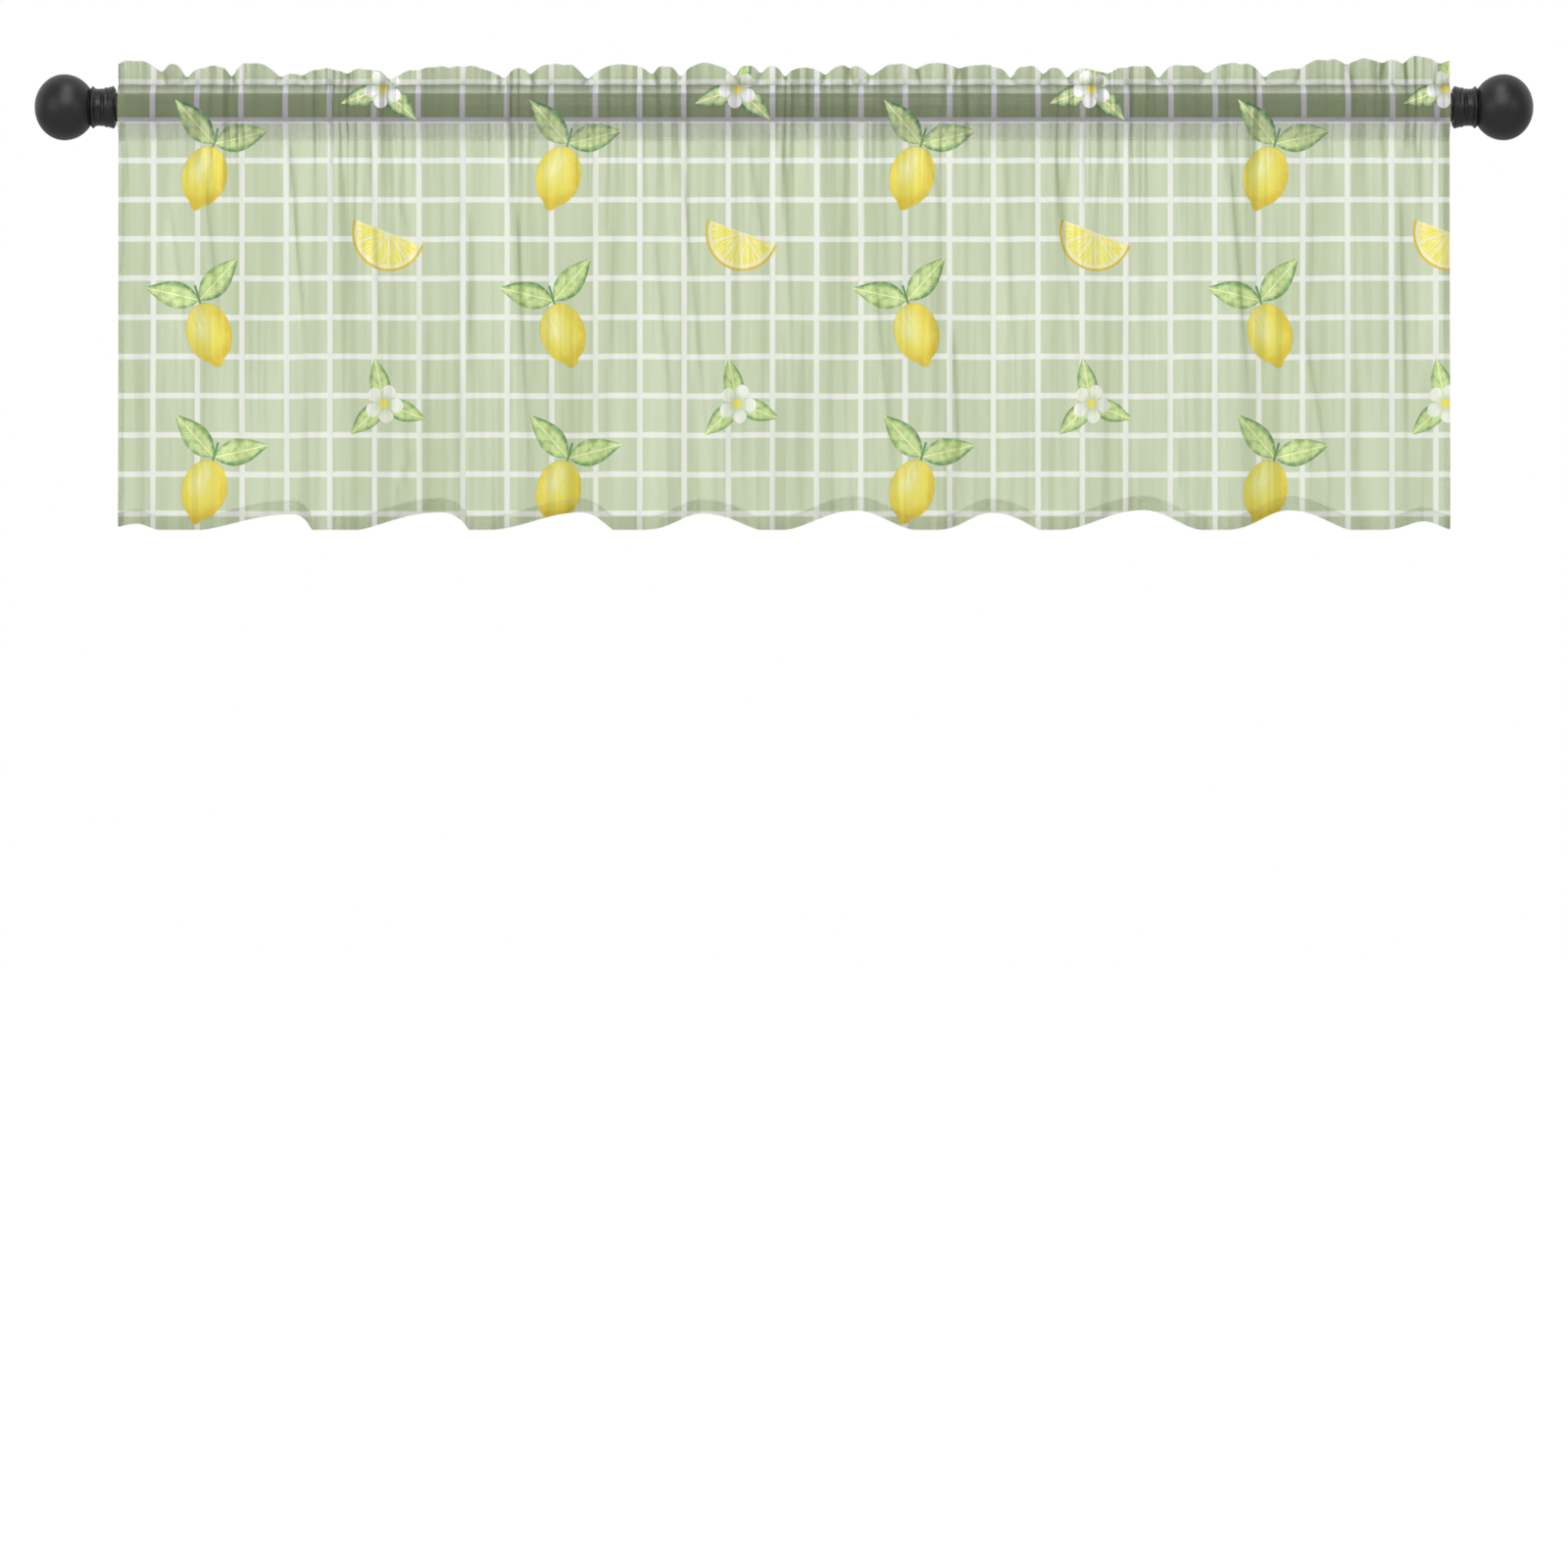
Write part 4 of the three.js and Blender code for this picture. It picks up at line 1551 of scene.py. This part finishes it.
class VALANCE_OT_set_stage(bpy.types.Operator):
    """Set the camera, the floor and soft studio light"""

    bl_idname = "valance.set_stage"
    bl_label = "Set the Stage"

    def execute(self, context):
        settings = context.scene.valance_stage
        self.place_camera(context.scene, settings)
        floor = self.lay_floor(settings)
        self.set_lamps(context.scene, settings)
        self.wash_floor(context.scene, settings, floor)
        self.light_room(context.scene, settings)
        context.scene.view_settings.view_transform = "Standard"
        context.scene.cycles.transparent_max_bounces = SHEER_LAYERS
        context.scene.cycles.caustics_reflective = False
        return {"FINISHED"}

    def place_camera(self, scene, settings):
        """Level camera whose frame covers the picture's frame at the rod."""
        data = bpy.data.cameras.new("camera")
        camera = bpy.data.objects.new("camera", data)
        scene.collection.objects.link(camera)
        data.lens = data.sensor_width * settings.distance / (PICTURE_PIXELS * MM_PER_PIXEL * MM)
        centre = (ROD_PIXEL_ROW - PICTURE_PIXELS / 2) * MM_PER_PIXEL * MM
        camera.location = (0, -settings.distance, centre)
        camera.rotation_euler = (math.pi / 2, 0, 0)
        data.clip_end = FAR_CLIP
        scene.camera = camera

    def lay_floor(self, settings):
        """Pale floor that throws back less light than the camera sees on it."""
        deselect_all()
        bpy.ops.mesh.primitive_plane_add(size=FLOOR_SIZE, location=(0, 0, -settings.floor_drop))
        floor = bpy.context.active_object
        floor.name = "floor"
        material, wires, shader = start_material("floor_pale", roughness=0.9)
        pale = wires.blend(wires.noise(wires.object_place(), scale=3.0), *FLOOR_TONES)
        wires.feed(shader.inputs["Base Color"], wires.blend(wires.seen(), FLOOR_GIVES, pale))
        floor.data.materials.append(material)
        return floor

    def set_lamps(self, scene, settings):
        """Soft lights in front, above and at both sides, aimed at the cloth."""
        lamps = (
            Lamp("key", (0.0, -2.8, 1.5), settings.key_power, 2.4),
            Lamp("top", (0.0, -1.3, 2.9), settings.top_power, 1.5),
            Lamp("side", (-2.6, -2.2, 0.3), settings.side_power, 2.4),
            Lamp("fill", (2.6, -2.6, 0.4), settings.fill_power, 2.0),
        )
        aim = bpy.data.objects.new("aim", None)
        scene.collection.objects.link(aim)
        aim.location = LIGHTS_AIM
        for lamp in lamps:
            light = bpy.data.lights.new(lamp.name, "AREA")
            light.energy = lamp.power
            light.shape = "DISK"
            light.size = lamp.width
            holder = bpy.data.objects.new(lamp.name, light)
            scene.collection.objects.link(holder)
            holder.location = lamp.place
            holder.constraints.new("TRACK_TO").target = aim

    def wash_floor(self, scene, settings, floor):
        """Broad light straight down that reaches the floor alone."""
        wash = bpy.data.objects.new("wash", bpy.data.lights.new("wash", "SUN"))
        wash.data.energy = settings.down
        wash.data.angle = math.radians(WASH_ANGLE)
        scene.collection.objects.link(wash)
        washed = bpy.data.collections.new("washed")
        washed.objects.link(floor)
        wash.light_linking.receiver_collection = washed

    def light_room(self, scene, settings):
        """White room that is brighter behind the cloth, and plain white to the camera."""
        world = bpy.data.worlds.new("studio")
        scene.world = world
        world.use_nodes = True
        wires = Wiring(world.node_tree)
        background = world.node_tree.nodes["Background"]
        background.inputs["Color"].default_value = colour(1, 1, 1)
        seen = wires.seen()
        direction = wires.value(wires.add("ShaderNodeTexCoord"), "Generated")
        behind = wires.rise(wires.split(direction)[1], -BEHIND_EDGE, BEHIND_EDGE)
        around = behind * (settings.behind - settings.around) + settings.around
        wires.feed(background.inputs["Strength"], seen + (1.0 - seen) * around)


class VALANCE_PT_sidebar(bpy.types.Panel):
    """Steps and settings of the valance"""

    bl_idname = "VALANCE_PT_sidebar"
    bl_label = "Rod-Pocket Valance"
    bl_space_type = "VIEW_3D"
    bl_region_type = "UI"
    bl_category = "Valance"

    def draw(self, context):
        for step in STEPS:
            self.layout.operator(step.bl_idname)
        for name, group in SETTINGS.items():
            box = self.layout.box()
            for setting in group.__annotations__:
                box.prop(getattr(context.scene, name), setting)


SETTINGS = {"valance_cloth": ClothSettings, "valance_rod": RodSettings, "valance_stage": StageSettings}
STEPS = (VALANCE_OT_set_stage, VALANCE_OT_hang_panel, VALANCE_OT_draw_rod, VALANCE_OT_turn_finials)
CLASSES = (*SETTINGS.values(), *STEPS, VALANCE_PT_sidebar)


def register():
    for item in CLASSES:
        bpy.utils.register_class(item)
    for name, group in SETTINGS.items():
        setattr(bpy.types.Scene, name, PointerProperty(type=group))


def unregister():
    for name in SETTINGS:
        delattr(bpy.types.Scene, name)
    for item in reversed(CLASSES):
        bpy.utils.unregister_class(item)


def main():
    register()
    bpy.ops.valance.set_stage()
    bpy.ops.valance.hang_panel()
    bpy.ops.valance.draw_rod()
    bpy.ops.valance.turn_finials()
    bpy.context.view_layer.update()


if __name__ == "__main__":
    main()
